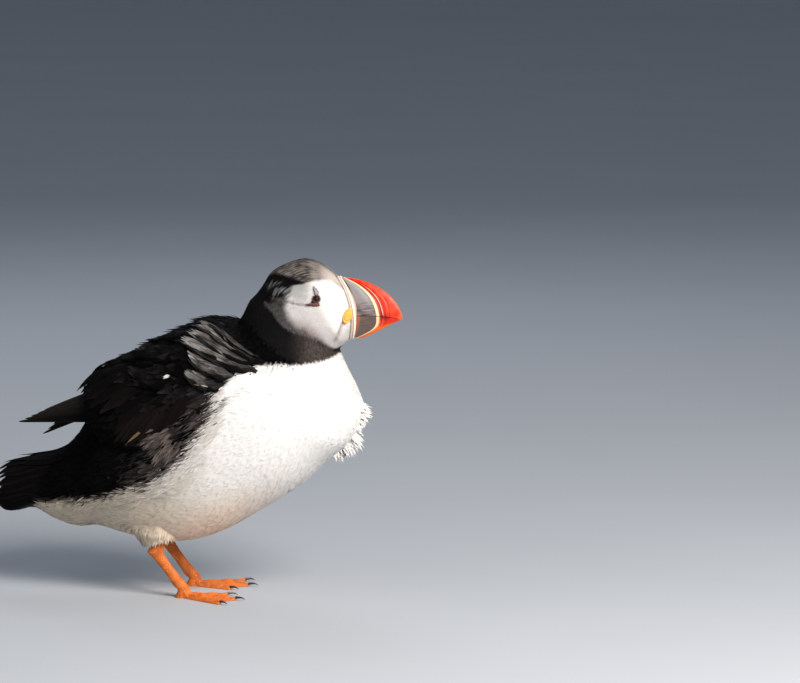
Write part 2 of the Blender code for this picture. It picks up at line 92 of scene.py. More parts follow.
# Folded wing: station, angles of its upper and lower edge, how proud each edge stands.
WING = (
    (12.75, 63, 72, 0.9, 0.9),
    (12.2, 46, 75, 1.1, 2.6),
    (11.0, 29, 80, 2.0, 4.0),
    (9.3, 25, 86, 3.6, 4.6),
    (7.8, 23, 84, 6.4, 4.8),
    (6.6, 19, 74, 9.4, 5.2),
    (5.95, 24, 60, 9.0, 5.0),
)
WING_CROWN = 2.2
PRIMARY_ROOT_TOP, PRIMARY_ROOT_BOTTOM = (-74, 17, 125), (-68, 24, 108)
PRIMARY_TIP = {"right": (-114, 9, 106), "left": (-105, 12, 95.5)}

LEG_SPREAD, ANKLE_Z, SHANK_TOP_Z, SHANK_LEAN = 21, 6.6, 27.6, -17.0
ANKLE_X = {"right": -6, "left": -10}
SHANK_FORE_AFT, SHANK_ACROSS = 4.3, 2.6
THIGH_TOP_Z, THIGH_LEAN, THIGH_GROWTH = 66.0, 12.0, 11.0
TOE_ANGLE = {"inner": 27, "middle": 1, "outer": -26}
TOE_LENGTH = {"inner": 29, "middle": 36, "outer": 35.5}
TOE_SPLAY, TOE_HALF_WIDTH, TOE_HEIGHT, WEB_NOTCH = 7, 2.3, 3.4, 0.13
HEEL_RADIUS, CLAW_LENGTH, CLAW_RADIUS, CLAW_RISE = 4.2, 6.0, 1.15, 1.6

BILL_BASE = ((91.2, 200.2), (101, 192.4), (105, 176), (99.2, 162.4))
CULMEN = ((106, 199.8), (126, 193), (129.8, 174.9))
GONYS = ((108, 161.8), (118, 170.4), (127.9, 174.3))
GAPE = ((110, 177.6), (120, 177.2), (128.9, 174.7))
GAPE_SHARE, BILL_HALF_WIDTH, CULMEN_HALF_WIDTH = 0.655, 7.8, 1.3
RIDGE_LENGTH, RIDGE_PROUD = 2.8, 0.7

EYE_AT, EYE_SUNK, EYE_RADIUS = (79.9, 188.6), 1.35, 2.45
PLATE_UPPER_AT, PLATE_LOWER_AT = (78.9, 193.4), (77.6, 185.3)
ROSETTE_AT, ROSETTE_SIZE, ROSETTE_TURN_DEG = (97.2, -9.7, 177.2), (3.1, 2.0, 5.4), 22

# ---------------------------------------------------------------- colours, linear
BLACK = (0.0011, 0.0011, 0.0015)
BROWN_BLACK = (0.0036, 0.0029, 0.0027)
# paler rims and tips of black vanes: partly wear, partly painted sheen
WORN_AND_SHEEN = (0.16, 0.15, 0.142)
# SHEEN and SHEEN_TIP: painted sheen and painted highlight of the lit scapulars
SHEEN = (0.190, 0.178, 0.170)
SHEEN_TIP = (0.62, 0.59, 0.57)
WHITE = (0.86, 0.85, 0.83)
# CREAM_WHITE and PEACH_WHITE: painted warm shade and bounce light on the underside; PEACH_WHITE also pales
# the leg skin into the plumage
CREAM_WHITE = (0.62, 0.53, 0.42)
PEACH_WHITE = (0.88, 0.68, 0.52)
FACE = (0.60, 0.575, 0.57)
FACE_PALE = (0.80, 0.78, 0.775)
FACE_SMUDGE = (0.33, 0.265, 0.245)
# FACE_REAR: the darker rear edge of the face disc, partly its own grey and partly painted shade
FACE_REAR = (0.036, 0.034, 0.035)
# FACE_PATCH: a grey oval behind the eye, painted shade of the bulging cheek feathers
FACE_PATCH = (0.37, 0.37, 0.37)
CROWN = (0.030, 0.026, 0.025)
CROWN_FROST = (0.27, 0.24, 0.22)
FOREHEAD = (0.52, 0.455, 0.425)
SLATE = (0.215, 0.195, 0.20)
SLATE_DUSKY = (0.078, 0.052, 0.052)
SLATE_LOWER = (0.130, 0.092, 0.080)
BILL_CREAM = (0.80, 0.60, 0.38)
BILL_RED = (0.64, 0.026, 0.009)
# BILL_DEEP: the dark red beside the pale line and by the gape, painted shade
BILL_DEEP = (0.17, 0.011, 0.005)
BILL_ORANGE = (0.80, 0.17, 0.02)
RIDGE_CREAM = (0.80, 0.70, 0.60)
RIDGE_TAN = (0.34, 0.19, 0.12)
ROSETTE_YELLOW = (0.84, 0.44, 0.07)
ROSETTE_ORANGE = (0.78, 0.27, 0.03)
LEG_ORANGE = (0.76, 0.195, 0.034)
LEG_DEEP = (0.40, 0.075, 0.014)
LID_RED = (0.11, 0.022, 0.016)
PLATE_GREY = (0.20, 0.20, 0.205)
PLATE_BROWN = (0.12, 0.036, 0.028)
PLATE_EDGE = (0.022, 0.014, 0.014)


# ---------------------------------------------------------------- small helpers
def smooth(value):
    """A smooth step: 0 below 0, 1 above 1, eased between."""
    value = np.clip(value, 0.0, 1.0)
    return value * value * (3 - 2 * value)


def bell(value, middle, half_width, power=2):
    """A bell that is 1 at the middle and falls away over the half width, flatter on top for power 4."""
    return np.exp(-(((value - middle) / half_width) ** power))


def patch_at(t, deg, middle_t, middle_deg, half_t, half_deg, power=2):
    """A bell over the stations and the degrees at once."""
    return np.exp(-(((t - middle_t) / half_t) ** power) - ((deg - middle_deg) / half_deg) ** power)


def blend(low, high, share):
    """Colours or numbers mixed by a share, which gains a last axis for colours."""
    low, high = np.asarray(low, float), np.asarray(high, float)
    share = np.asarray(share, float)
    if low.ndim and low.shape[-1:] == (3,):
        share = share[..., None]
    return low + (high - low) * share


def painted(colour, *coats):
    """A colour with others laid over it in turn, each given as (colour, share)."""
    for over, share in coats:
        colour = blend(colour, over, share)
    return colour


def around(count):
    """So many angles round a full turn."""
    return np.arange(count) * FULL_TURN / count


def unit(vectors):
    """Vectors scaled to length one."""
    return vectors / np.maximum(np.linalg.norm(vectors, axis=-1, keepdims=True), 1e-12)


def dot(a, b):
    """Scalar products along the last axis, which is kept."""
    return np.sum(a * b, axis=-1, keepdims=True)


def ripple(points, size, seed):
    """Smooth noise from -1 to 1 in space: a sum of plane sine waves in random directions."""
    rng = np.random.default_rng(seed)
    total = np.zeros(points.shape[:-1])
    for _ in range(7):
        way = unit(rng.normal(size=3)) * rng.uniform(0.7, 1.5) * FULL_TURN / size
        total += np.sin(points @ way + rng.uniform(0, FULL_TURN))
    return np.clip(total / 3.2, -1, 1)


def even_pairs(count, first=0.5, second=0.5):
    """Pairs of shares that fill a square evenly: whole multiples of two irrational steps."""
    i = np.arange(count)
    return (first + i * 0.7548776662) % 1, (second + i * 0.5698402910) % 1


def catmull_rom(table, t):
    """Rows of a table read at fractional places, on a smooth curve through them."""
    table = np.asarray(table, float)
    last = len(table) - 1
    t = np.asarray(t, float)
    i = np.clip(np.floor(t).astype(int), 0, last - 1)
    f = (t - i)[..., None]
    before, here = table[np.maximum(i - 1, 0)], table[i]
    there, after = table[i + 1], table[np.minimum(i + 2, last)]
    return 0.5 * (
        2 * here
        + (there - before) * f
        + (2 * before - 5 * here + 4 * there - after) * f**2
        + (3 * here - before - 3 * there + after) * f**3
    )


def bezier(points, share):
    """Points of a quadratic or cubic Bezier line: binomial weights of its corner points."""
    corners = [np.asarray(p, float) for p in points]
    s = np.asarray(share, float)[..., None]
    degree = len(corners) - 1
    return sum(
        math.comb(degree, k) * (1 - s) ** (degree - k) * s**k * corner
        for k, corner in enumerate(corners)
    )


# ---------------------------------------------------------------- the feathered form
def section_point(t, angle):
    """Superellipse between the ridge and the belly of station t, sagging a little, in millimetres."""
    t, angle = np.broadcast_arrays(np.asarray(t, float), np.asarray(angle, float))
    row = catmull_rom(STATIONS, t)
    top, bottom, half = row[..., 0:2], row[..., 2:4], row[..., 4]
    sag = np.interp(t, (1.0, 4.0), (TAIL_SAG, BODY_SAG))
    along = np.sign(np.cos(angle)) * np.abs(np.cos(angle)) ** SECTION_ROUNDNESS
    across = np.sign(np.sin(angle)) * np.abs(np.sin(angle)) ** SECTION_ROUNDNESS
    middle = (top + bottom) / 2 + (top - bottom) / 2 * along[..., None]
    return np.stack([middle[..., 0], -half * across * (1 + sag * along), middle[..., 1]], axis=-1)


def face_ring(angle, back, proud=0.0):
    """The outline where the bill is set in the face, moved back and standing proud by so many mm."""
    folded = np.abs((np.asarray(angle) + HALF_TURN) % FULL_TURN - HALF_TURN)
    line = bezier(BILL_BASE, folded / HALF_TURN) - (back, 0)
    half = (BILL_HALF_WIDTH + 1.2 + proud) * np.abs(np.sin(folded)) ** 0.7
    half = half * np.where(np.sin(angle) < 0, -1, 1)
    return np.stack([line[..., 0], -half, line[..., 1] + proud * np.cos(folded)], axis=-1)


def form_point(t, angle):
    """The bare form: sections up to station 24, and from there straight to the root of the bill."""
    t, angle = np.broadcast_arrays(np.asarray(t, float), np.asarray(angle, float))
    section = section_point(np.minimum(t, 24.0), angle)
    front = face_ring(angle, RIDGE_LENGTH + GAP)
    return blend(section, front, np.clip(t - 24.0, 0, 1))


def degrees_from_ridge(angle):
    """An angle round the body as degrees from the ridge, 0 to 180, the same on both sides."""
    return np.degrees(np.abs((angle + HALF_TURN) % FULL_TURN - HALF_TURN))


def side_angle(deg, sign):
    """Degrees from the ridge as an angle round the body: down the right side for sign -1."""
    return np.radians(deg) if sign < 0 else FULL_TURN - np.radians(deg)


WING_ROWS = catmull_rom(WING, np.linspace(0, len(WING) - 1, 241))[::-1]


def wing_across(t, angle):
    """Where a place lies across the folded wing: 0 at its upper edge, 1 at its lower edge."""
    upper = np.interp(t, WING_ROWS[:, 0], WING_ROWS[:, 1])
    lower = np.interp(t, WING_ROWS[:, 0], WING_ROWS[:, 2])
    return (degrees_from_ridge(angle) - upper) / (lower - upper)


def wing_proud(t, angle):
    """How proud the folded wing stands, crowned between its edges and eased down at its outline."""
    station = WING_ROWS[:, 0]
    across = wing_across(t, angle)
    span = np.interp(t, station, WING_ROWS[:, 2] - WING_ROWS[:, 1])
    upper, lower = (np.interp(t, station, WING_ROWS[:, k]) for k in (3, 4))
    share = np.interp(t, station, np.linspace(1, 0, len(station)))
    inside = np.clip(across, 0, 1)
    proud = 1.3 * GAP + upper + (lower - upper) * inside
    proud = proud + WING_CROWN * np.sin(HALF_TURN * inside) * np.sin(HALF_TURN * share) ** 0.5
    soft_upper = 1 + across * span / 9.0
    soft_lower = 1 - (across - 1) * span / 4.0
    ends = smooth((t - 5.62) / 0.33) * smooth((12.95 - t) / 0.35)
    return proud * smooth(soft_upper) * smooth(soft_lower) * ends


def line_distance(t, angle, line_t, line_deg):
    """Distance in mm, on the head, from a line of (station, degrees), and how far along it we are."""
    corners = np.stack([line_t, line_deg], axis=-1) * HEAD_STEP
    deg = degrees_from_ridge(angle)
    place = np.stack(np.broadcast_arrays(t * HEAD_STEP[0], deg * HEAD_STEP[1]), axis=-1)
    best = np.full(place.shape[:-1], 1e9)
    along = np.zeros_like(best)
    for k, (a, b) in enumerate(zip(corners, corners[1:])):
        share = np.clip(((place - a) @ (b - a)) / ((b - a) @ (b - a)), 0, 1)
        away = np.linalg.norm(place - a - share[..., None] * (b - a), axis=-1)
        along = np.where(away < best, (k + share) / (len(corners) - 1), along)
        best = np.minimum(best, away)
    return best, along


HEAD_STEP = (7.6, 0.37)  # mm for a station and for a degree, on the head
FURROW = ((17.9, 18.7, 19.5, 20.35), (46, 71, 82, 88.5))  # from the nape to the eye's rear corner
CHIN_CREASE = ((24.5, 23.2, 22.0, 20.6), (113, 127, 139, 147))  # from the gape to under the chin


def face_relief(t, angle):
    """Folds of the face: a furrow behind the eye, a fuller cheek under it, a crease by the chin."""
    deg = degrees_from_ridge(angle)
    furrow, share = line_distance(t, angle, *FURROW)
    crease, _ = line_distance(t, angle, *CHIN_CREASE)
    below = patch_at(t, deg, 19.3, 103, 1.3, 15)
    away = ((t - 21.1) * HEAD_STEP[0]) ** 2 + ((deg - 83) * HEAD_STEP[1]) ** 2
    relief = -0.9 * bell(furrow, 0, 0.9) * smooth(share * 2.5)
    return relief - 0.6 * bell(crease, 0, 1.2) + 0.7 * below - 0.55 * np.exp(-away / 4.2**2)


T_STEPS, A_STEPS = 1000, 480
GRID_T, GRID_A = np.meshgrid(
    np.linspace(0, FACE_END, T_STEPS + 1), np.linspace(0, FULL_TURN, A_STEPS + 1), indexing="ij"
)


def slopes(points):
    """Change of the grid's points per station and per radian, wrapping round the body."""
    by_t = np.gradient(points, FACE_END / T_STEPS, axis=0)
    ring = np.concatenate([points[:, -2:-1], points, points[:, 1:2]], axis=1)
    by_a = (ring[:, 2:] - ring[:, :-2]) / (2 * FULL_TURN / A_STEPS)
    return by_t, by_a


def raised(points, amount):
    """Grid points moved out along the surface's normal."""
    by_t, by_a = slopes(points)
    return points + unit(np.cross(by_a, by_t)) * amount[..., None]


FORM = form_point(GRID_T, GRID_A)
COAT = raised(FORM, wing_proud(GRID_T, GRID_A) + face_relief(GRID_T, GRID_A))
COAT_BY_T, COAT_BY_A = slopes(COAT)
COAT_NORMAL = unit(np.cross(COAT_BY_A, COAT_BY_T))
FORM_NORMAL = unit(np.cross(*slopes(FORM)[::-1]))
LIE_NORMAL = unit(COAT_NORMAL + FORM_NORMAL)  # smoother over the wing's edges
CELL_AREA = np.linalg.norm(np.cross(COAT_BY_A, COAT_BY_T), axis=-1)


def read(field, t, angle):
    """A field of the body grid read between its points, straight from neighbour to neighbour."""
    x = np.clip(t, 0, FACE_END) * (T_STEPS / FACE_END)
    y = (angle % FULL_TURN) * (A_STEPS / FULL_TURN)
    i = np.minimum(x.astype(int), T_STEPS - 1)
    k = np.minimum(y.astype(int), A_STEPS - 1)
    fx, fy = x - i, y - k
    if field.ndim == 3:
        fx, fy = fx[..., None], fy[..., None]
    near = field[i, k] * (1 - fx) + field[i + 1, k] * fx
    far = field[i, k + 1] * (1 - fx) + field[i + 1, k + 1] * fx
    return near * (1 - fy) + far * fy


def coat_point(t, angle):
    """A point at the coat's own level, carried straight on past the tail tip for t below 0."""
    t, angle = np.broadcast_arrays(np.asarray(t, float), np.asarray(angle, float))
    return read(COAT, t, angle) + np.minimum(t, 0)[..., None] * read(COAT_BY_T, t, angle)


# ---------------------------------------------------------------- places on the face
def upright_axes(out):
    """Columns that run forwards, out of the face and up, for a way out of the right cheek."""
    out = out / np.linalg.norm(out)
    up = np.array([0, 0, 1.0]) - out * out[2]
    up /= np.linalg.norm(up)
    return np.stack([np.cross(up, out), out, up], axis=-1)


def face_frame(x, z):
    """(place on the right side of the head at that x and z, its upright axes)."""
    t, angle = np.meshgrid(np.linspace(18.5, 24, 221), np.linspace(0.3, 2.8, 201), indexing="ij")
    points = section_point(t, angle)
    away = (points[..., 0] - x) ** 2 + (points[..., 2] - z) ** 2
    nearest = np.unravel_index(np.argmin(away), t.shape)
    normal = read(FORM_NORMAL, t[nearest][None], angle[nearest][None])[0]
    return points[nearest], upright_axes(normal)


EYE_SPOT = face_frame(*EYE_AT)
UPPER_SPOT = face_frame(*PLATE_UPPER_AT)
LOWER_SPOT = face_frame(*PLATE_LOWER_AT)


def clear_of(points, spots):
    """1 in the open, falling to 0 within balls of (centre, radius) on either side of the head."""
    free = np.ones(points.shape[:-1])
    for mirror in (1, -1):
        for spot, radius in spots:
            away = np.linalg.norm(points - spot * np.array([1, mirror, 1]), axis=-1)
            free = free * smooth((away - radius) / 0.3)
    return free


def eye_clear(points):
    """1 on open plumage, 0 over the eyes and the plates above and below them."""
    return clear_of(points, EYE_SPOTS)


EYE_SPOTS = [
    (EYE_SPOT[0], 2.45),
    (UPPER_SPOT[0] + (0.5, 0, -1.2), 1.35),
    (UPPER_SPOT[0] + (-0.2, 0, 0.6), 1.0),
    (UPPER_SPOT[0] + (-1.0, 0, 2.3), 0.7),
    (LOWER_SPOT[0] + (2.6, 0, 0.2), 1.6),
    (LOWER_SPOT[0] + (0.4, 0, 0.0), 1.35),
    (LOWER_SPOT[0] + (-2.2, 0, -0.4), 1.0),
    (LOWER_SPOT[0] + (-0.4, 0, 1.4), 1.3),
]
ROSETTE_SPOTS = [
    (np.array(ROSETTE_AT) + (0.9, 0, 2.6), 2.2),
    (np.array(ROSETTE_AT), 2.6),
    (np.array(ROSETTE_AT) - (0.9, 0, 2.4), 2.0),
]


# ---------------------------------------------------------------- markings, shared by skin and coat
BLACK_EDGE_T = (0, 1.6, 2.45, 3.8, 5.35, 6.3, 7.15, 7.85, 8.75, 9.35, 9.85, 10.25, 10.7, 10.85, 11.7)
BLACK_EDGE_T += (12.4, 13.15, 13.5, 14.15, 14.85, 15.65, 16.3, 16.95, 17.43, 17.7, 18)
BLACK_EDGE = (180, 180, 121, 102, 114, 113, 106, 106, 100, 96, 90.5, 87, 82, 76, 71, 69, 70.5, 76, 85)
BLACK_EDGE += (94, 108.5, 123.5, 145, 163, 180, 200)
DISC_BACK = (
    (40, 47.5, 64, 77, 83.5, 93, 104, 116, 129, 145, 159, 170, 180),
    (17.45, 17.2, 17.2, 16.9, 16.87, 17.08, 17.5, 17.83, 18.12, 18.5, 19.3, 20.1, 20.3),
)
REAR_DEG = (60, 70, 88, 100, 115, 130, 145, 160)
REAR_MIDDLE = (1.6, 1.9, 1.15, 1.25, 1.6, 1.5, 0.8, 0.3)  # stations in front of the disc's back edge
REAR_HALF = (0.6, 0.6, 0.6, 1.0, 1.25, 1.15, 0.8, 0.35)
DISC_TOP = (17.9, 18.9, 19.95, 20.65, 21.05, 22.05, 23.2, 24), (42, 51, 59, 63, 62, 55, 42, 38)
# The streaked black behind the eye ends here.
STREAKED = (17.4, 17.6, 18.0, 18.5, 19.0, 19.5, 19.9, 20.3), (50, 57, 64, 69, 71, 68, 60, 40)


def black_edge(t):
    """Degrees from the ridge at which the black of back, wing and collar ends."""
    return np.interp(t, BLACK_EDGE_T, BLACK_EDGE)


def dark_share(t, angle):
    """How black a place is, 0 to 1: back, wings, tail and collar, but not the face or the crown."""
    return smooth((black_edge(t) - degrees_from_ridge(angle)) / 3 + 0.5)


def disc_share(t, angle):
    """How far inside the pale face disc a place is, 0 to 1."""
    deg = degrees_from_ridge(angle)
    inside = smooth((t - np.interp(deg, *DISC_BACK)) / 0.07 + 0.5)
    return inside * smooth((deg - np.interp(t, *DISC_TOP)) / (2.5 + 5 * smooth(t - 20.8)) + 0.5)


def markings(t, angle, points, seed=3):
    """The colour of the plumage at a station and an angle, with soft mottling in space, and with painted
    shade, sheen and warm bounce light laid in.
    """
    t, angle = np.broadcast_arrays(np.asarray(t, float), np.asarray(angle, float))
    deg, edge, top = degrees_from_ridge(angle), black_edge(t), np.interp(t, *DISC_TOP)
    broad, fine = ripple(points, 34, seed), ripple(points, 5, seed + 1)

    def streaks(by_deg, by_t, size, more):
        return ripple(np.stack([deg * by_deg, t * by_t, 0 * deg], axis=-1), size, seed + more)

    flank = smooth((edge + 19 - deg) / 14) * smooth((10.1 - t) / 1.2) * smooth((t - 3) / 1.5)
    white = painted(
        WHITE,
        # lower body warmer and darker: painted warm shade
        (CREAM_WHITE, smooth((10.6 - t) / 3.4) * smooth((deg - 92) / 14)),
        # darker still under the tail: painted shade
        ((0.30, 0.25, 0.19), 0.8 * smooth((7.6 - t) / 3) * (0.75 + 0.4 * broad)),
        # peach by the legs: painted warm bounce light
        (PEACH_WHITE, np.clip(0.95 * bell(t, 8.9, 1.6) * smooth((deg - 118) / 34), 0, 1)),
        # dusky along the flank: the flank's own dusky feathers, and painted shade under the wing
        ((0.33, 0.295, 0.265), 0.8 * np.clip(flank * (0.6 + 0.5 * ripple(points, 9, seed + 2)), 0, 1)),
    )
    lower = smooth((deg - edge + 24) / 14) * bell(t, 8.9, 1.7, 4)
    black = painted(
        BLACK,
        (BROWN_BLACK, np.clip(0.35 + 0.45 * broad, 0, 1)),
        # brownish front of the collar: painted sheen
        ((0.055, 0.044, 0.041), 0.85 * smooth((t - 14.8) / 0.8) * smooth((deg - 85) / 35)),
        ((0.16, 0.125, 0.115), np.clip(0.2 + 0.6 * streaks(0.7, 4.5, 5, 4), 0, 1) * 0.4 * lower),
    )

    line = 18.6 + 0.0417 * np.clip(deg - 8, 0, 60)  # where the frosted crown begins
    rise = smooth((t - line) / 0.4 + 0.5)
    hoar, lines = streaks(0.6, 2.4, 2.0, 8), streaks(0.62, 1.6, 3.2, 3)
    frost = np.clip(0.46 + 0.5 * hoar + 0.35 * fine, 0, 1) * rise * (0.35 + 0.65 * smooth(deg / 16))
    patch = blend(BLACK, (0.19, 0.19, 0.195), np.clip(1.3 * lines - 0.42, 0, 1) * smooth((deg - 10) / 12))
    crown = painted(
        BLACK,
        (patch, smooth((t - 17.9) / 0.7) * (1 - bell(t, line - 0.45, 0.4, 4))),
        (CROWN, rise),
        (CROWN_FROST, 0.72 * frost),
        (FOREHEAD, smooth((t - 21.3) / 2.3) * smooth((deg + 8) / 28)),
        (BLACK, 0.92 * smooth((deg - top + 11) / 7) * smooth((20.85 - t) / 0.6)),
    )

    behind = t - np.interp(deg, *DISC_BACK)
    middle, half = np.interp(deg, REAR_DEG, REAR_MIDDLE), np.interp(deg, REAR_DEG, REAR_HALF)
    # the rear edge of the disc darkens: partly the face's own grey, partly painted shade where the head turns
    # from the light
    shaded_rear = 1 - smooth((behind - middle + half + 0.12 * fine) / (2 * half))
    rear = blend(FACE_REAR, FACE_SMUDGE, smooth((behind - 0.2) / 1.6) * smooth((deg - 84) / 14))
    # a grey oval behind the eye with a dark upper rim: painted shade of the bulging cheek feathers
    reach = np.hypot((t - 20.25) / 0.68, (deg - 71) / 13)
    rim = bell(reach, 1, 0.17) * smooth((72 - deg) / 8) * smooth((20.5 - t) / 0.4)
    furrow, along = line_distance(t, angle, *FURROW)
    crease, _ = line_distance(t, angle, *CHIN_CREASE)
    disc = painted(
        FACE,
        (FACE_PALE, smooth((t - 20.9) / 1.8) * smooth((150 - deg) / 40)),
        (rear, 0.97 * shaded_rear),
        (FACE_SMUDGE, np.clip(0.55 * patch_at(t, deg, 18.9, 108, 0.9, 13) * (0.8 + 0.45 * fine), 0, 1)),
        # darker along the top of the disc under the crown's edge: painted shade
        ((0.13, 0.13, 0.135), 0.5 * smooth((top + 13 - deg) / 10) * smooth((21.4 - t) / 0.8)),
        (FACE_PATCH, 0.8 * smooth((1.1 - reach) / 0.35) * (0.75 + 0.25 * fine)),
        ((0.10, 0.10, 0.11), 0.75 * rim),
        (patch, smooth((np.interp(t, *STREAKED) + 5 * lines - deg) / 12 + 0.5)),
        # darker along the furrow behind the eye and the crease by the chin: painted shade in the folds
        ((0.20, 0.16, 0.15), 0.7 * bell(furrow, 0, 0.5) * smooth(along * 3)),
        ((0.28, 0.245, 0.23), 0.75 * bell(crease, 0, 1.9)),
        ((0.020, 0.012, 0.011), smooth((t - 18.8) / 0.4) * (1 - eye_clear(points))),
    )
    upper = blend(black, crown, smooth((t - 17.8) / 0.6))
    return painted(white, (blend(upper, disc, disc_share(t, angle)), dark_share(t, angle)))


# ---------------------------------------------------------------- meshes from arrays
def add_object(name, data):
    """A new object in the scene."""
    made = bpy.data.objects.new(name, data)
    bpy.context.scene.collection.objects.link(made)
    return made


def put_mesh(name, points, quads, triangles, tints, uv_maps=(), sharp_deg=40):
    """A mesh object from arrays in millimetres: corners, four- and three-cornered faces, point colours."""
    mesh = bpy.data.meshes.new(name)
    quads = np.asarray(quads, np.int64).reshape(-1, 4)
    triangles = np.asarray(triangles, np.int64).reshape(-1, 3)
    loops = np.concatenate([quads.ravel(), triangles.ravel()]).astype(np.int32)
    starts = np.concatenate([np.arange(len(quads)) * 4, len(quads) * 4 + np.arange(len(triangles)) * 3])
    mesh.vertices.add(len(points))
    mesh.vertices.foreach_set("co", ((points + SHIFT) * MM).astype(np.float32).ravel())
    mesh.loops.add(len(loops))
    mesh.loops.foreach_set("vertex_index", loops)
    mesh.polygons.add(len(starts))
    mesh.polygons.foreach_set("loop_start", starts.astype(np.int32))
    mesh.update(calc_edges=True)
    mesh.validate()
    mesh.shade_smooth()
    mesh.set_sharp_from_angle(angle=math.radians(sharp_deg))
    for map_name, values in uv_maps:
        layer = mesh.uv_layers.new(name=map_name)
        layer.uv.foreach_set("vector", values[loops].astype(np.float32).ravel())
    colour = mesh.color_attributes.new("Tint", "FLOAT_COLOR", "POINT")
    rgba = np.concatenate([np.clip(tints, 0, 1), np.ones((len(points), 1))], axis=1)
    colour.data.foreach_set("color", rgba.astype(np.float32).ravel())
    return add_object(name, mesh)


def facing_out(points, quads, triangles):
    """Corners and faces, with all faces turned over if the volume that they enclose is negative."""
    corners = points[np.concatenate([quads[:, :3], quads[:, [0, 2, 3]], triangles])]
    volume = np.sum(corners[:, 0] * np.cross(corners[:, 1], corners[:, 2]))
    if volume < 0:
        quads, triangles = quads[:, ::-1], triangles[:, ::-1]
    return points, quads, triangles


def shell_arrays(rings):
    """Corners and faces of a closed skin through rings of points, its two ends closed by fans."""
    rings = np.asarray(rings, float)
    many, count = rings.shape[:2]
    ends = np.stack([rings[0].mean(axis=0), rings[-1].mean(axis=0)])
    points = np.concatenate([rings.reshape(-1, 3), ends])
    number = np.arange(many * count).reshape(many, count)
    after = np.roll(number, -1, axis=1)
    quads = np.stack([number[:-1], after[:-1], after[1:], number[1:]], axis=-1).reshape(-1, 4)
    first = np.stack([after[0], number[0], np.full(count, many * count)], axis=-1)
    last = np.stack([number[-1], after[-1], np.full(count, many * count + 1)], axis=-1)
    triangles = np.concatenate([first, last])
    return facing_out(points, quads, triangles)


def ring_values(values):
    """Values given ring by ring, followed by the means that the two closing corners take."""
    values = np.asarray(values, float)
    ends = np.stack([values[0].mean(axis=0), values[-1].mean(axis=0)])
    return np.concatenate([values.reshape(-1, values.shape[-1]), ends])


def shells(name, parts, sharp_deg=50):
    """One object of several closed skins, each given as (rings, colours ring by ring)."""
    points, quads, triangles, tints, shift = [], [], [], [], 0
    for rings, colours in parts:
        p, q, r = shell_arrays(rings)
        points.append(p)
        quads.append(q + shift)
        triangles.append(r + shift)
        tints.append(ring_values(np.broadcast_to(colours, np.asarray(rings).shape)))
        shift += len(p)
    joined = (np.concatenate(group) for group in (points, quads, triangles, tints))
    return put_mesh(name, *joined, sharp_deg=sharp_deg)


def slid(values, rows_back):
    """Values per row (feathers, rows, 3) read at fractional rows (feathers, rows, columns)."""
    low = np.clip(np.floor(rows_back).astype(int), 0, values.shape[1] - 2)
    share = (rows_back - low)[..., None]
    feather = np.arange(len(values))[:, None, None]
    return values[feather, low] * (1 - share) + values[feather, low + 1] * share


def vanes(name, centre, up, half_width, arch, cut, tints, place, soft=None):
    """Thin closed feathers. Row r and column c of a vane stand at

    centre(w) + side(w) * x * half_width + up(w) * arch * (1 - x^2), with w = v - cut * v^1.5

    where x runs from -1 to 1 across, v from 0 to 1 along, way points to the tip and side lies across
    it. The flat underside joins the two rims, so the vane is thickest along its shaft.

    centre, up: (feathers, rows, 3). half_width, arch: (feathers, rows). cut: (feathers, columns).
    tints: (feathers, rows, columns, 3). place: (feathers, 2), the root's place on the flattened skin.
    soft: where given, shading follows the body's own curve, tilted across each vane by that much.
    """
    count, rows = centre.shape[:2]
    columns = cut.shape[1]
    way = unit(np.gradient(centre, axis=1))
    body_up = up
    up = unit(up - way * dot(up, way))
    side = np.cross(up, way)
    x = np.linspace(-1, 1, columns)
    v = np.linspace(0, 1, rows)
    spot = (v[:, None] - cut[:, None, :] * v[:, None] ** 1.5) * (rows - 1)
    points = slid(centre, spot) + slid(side, spot) * (x[:, None] * half_width[:, :, None, None])
    points = points + slid(up, spot) * ((1 - x**2)[:, None] * arch[:, :, None, None])
    number = np.arange(count * rows * columns).reshape(count, rows, columns)
    before, after = number[:, :-1], number[:, 1:]
    top = np.stack([before[..., :-1], after[..., :-1], after[..., 1:], before[..., 1:]], axis=-1)
    under = np.stack([before[..., 0], before[..., -1], after[..., -1], after[..., 0]], axis=-1)
    quads = np.concatenate([top.reshape(-1, 4), under.reshape(-1, 4)])
    here, there = number[:, :, 1:-1], number[:, :, 2:]
    hub = np.broadcast_to(number[:, :, :1], here.shape)
    root = np.stack([hub[:, 0], here[:, 0], there[:, 0]], axis=-1)
    tip = np.stack([hub[:, -1], there[:, -1], here[:, -1]], axis=-1)
    triangles = np.concatenate([root.reshape(-1, 3), tip.reshape(-1, 3)])
    across, along = np.meshgrid(x / 2 + 0.5, v)
    local = np.stack([across, along], axis=-1)[None]
    bake = place[:, None, None, :] + (local - 0.5) * BAKE_PATCH
    vane = np.broadcast_to(local, bake.shape)
    maps = (("OFBake", bake.reshape(-1, 2)), ("Vane", vane.reshape(-1, 2)))
    flat = points.reshape(-1, 3), quads, triangles, tints.reshape(-1, 3)
    piece = put_mesh(name, *flat, uv_maps=maps, sharp_deg=75)
    if soft is not None:
        tilt = side[:, :, None] * (soft * x[:, None])
        lean = way[:, :, None] * (0.35 * soft * np.maximum(v - 0.6, 0))[None, :, None, None]
        normals = unit(body_up[:, :, None] + tilt + lean)
        piece.data.normals_split_custom_set_from_vertices(normals.reshape(-1, 3))
    return piece


BAKE_PATCH = 0.003


def skin_place(t, angle):
    """Where roots lie on the skin laid flat: round the body across, along it upwards, filling 0 to 1."""
    low, high = float(np.min(t)), float(np.max(t))
    up = (t - low) / max(high - low, 1e-6)
    turn = (angle % FULL_TURN) / FULL_TURN
    start, end = float(np.min(turn)), float(np.max(turn))
    across = (turn - start) / max(end - start, 1e-6)
    return 0.01 + 0.98 * np.stack([across, up], axis=-1)


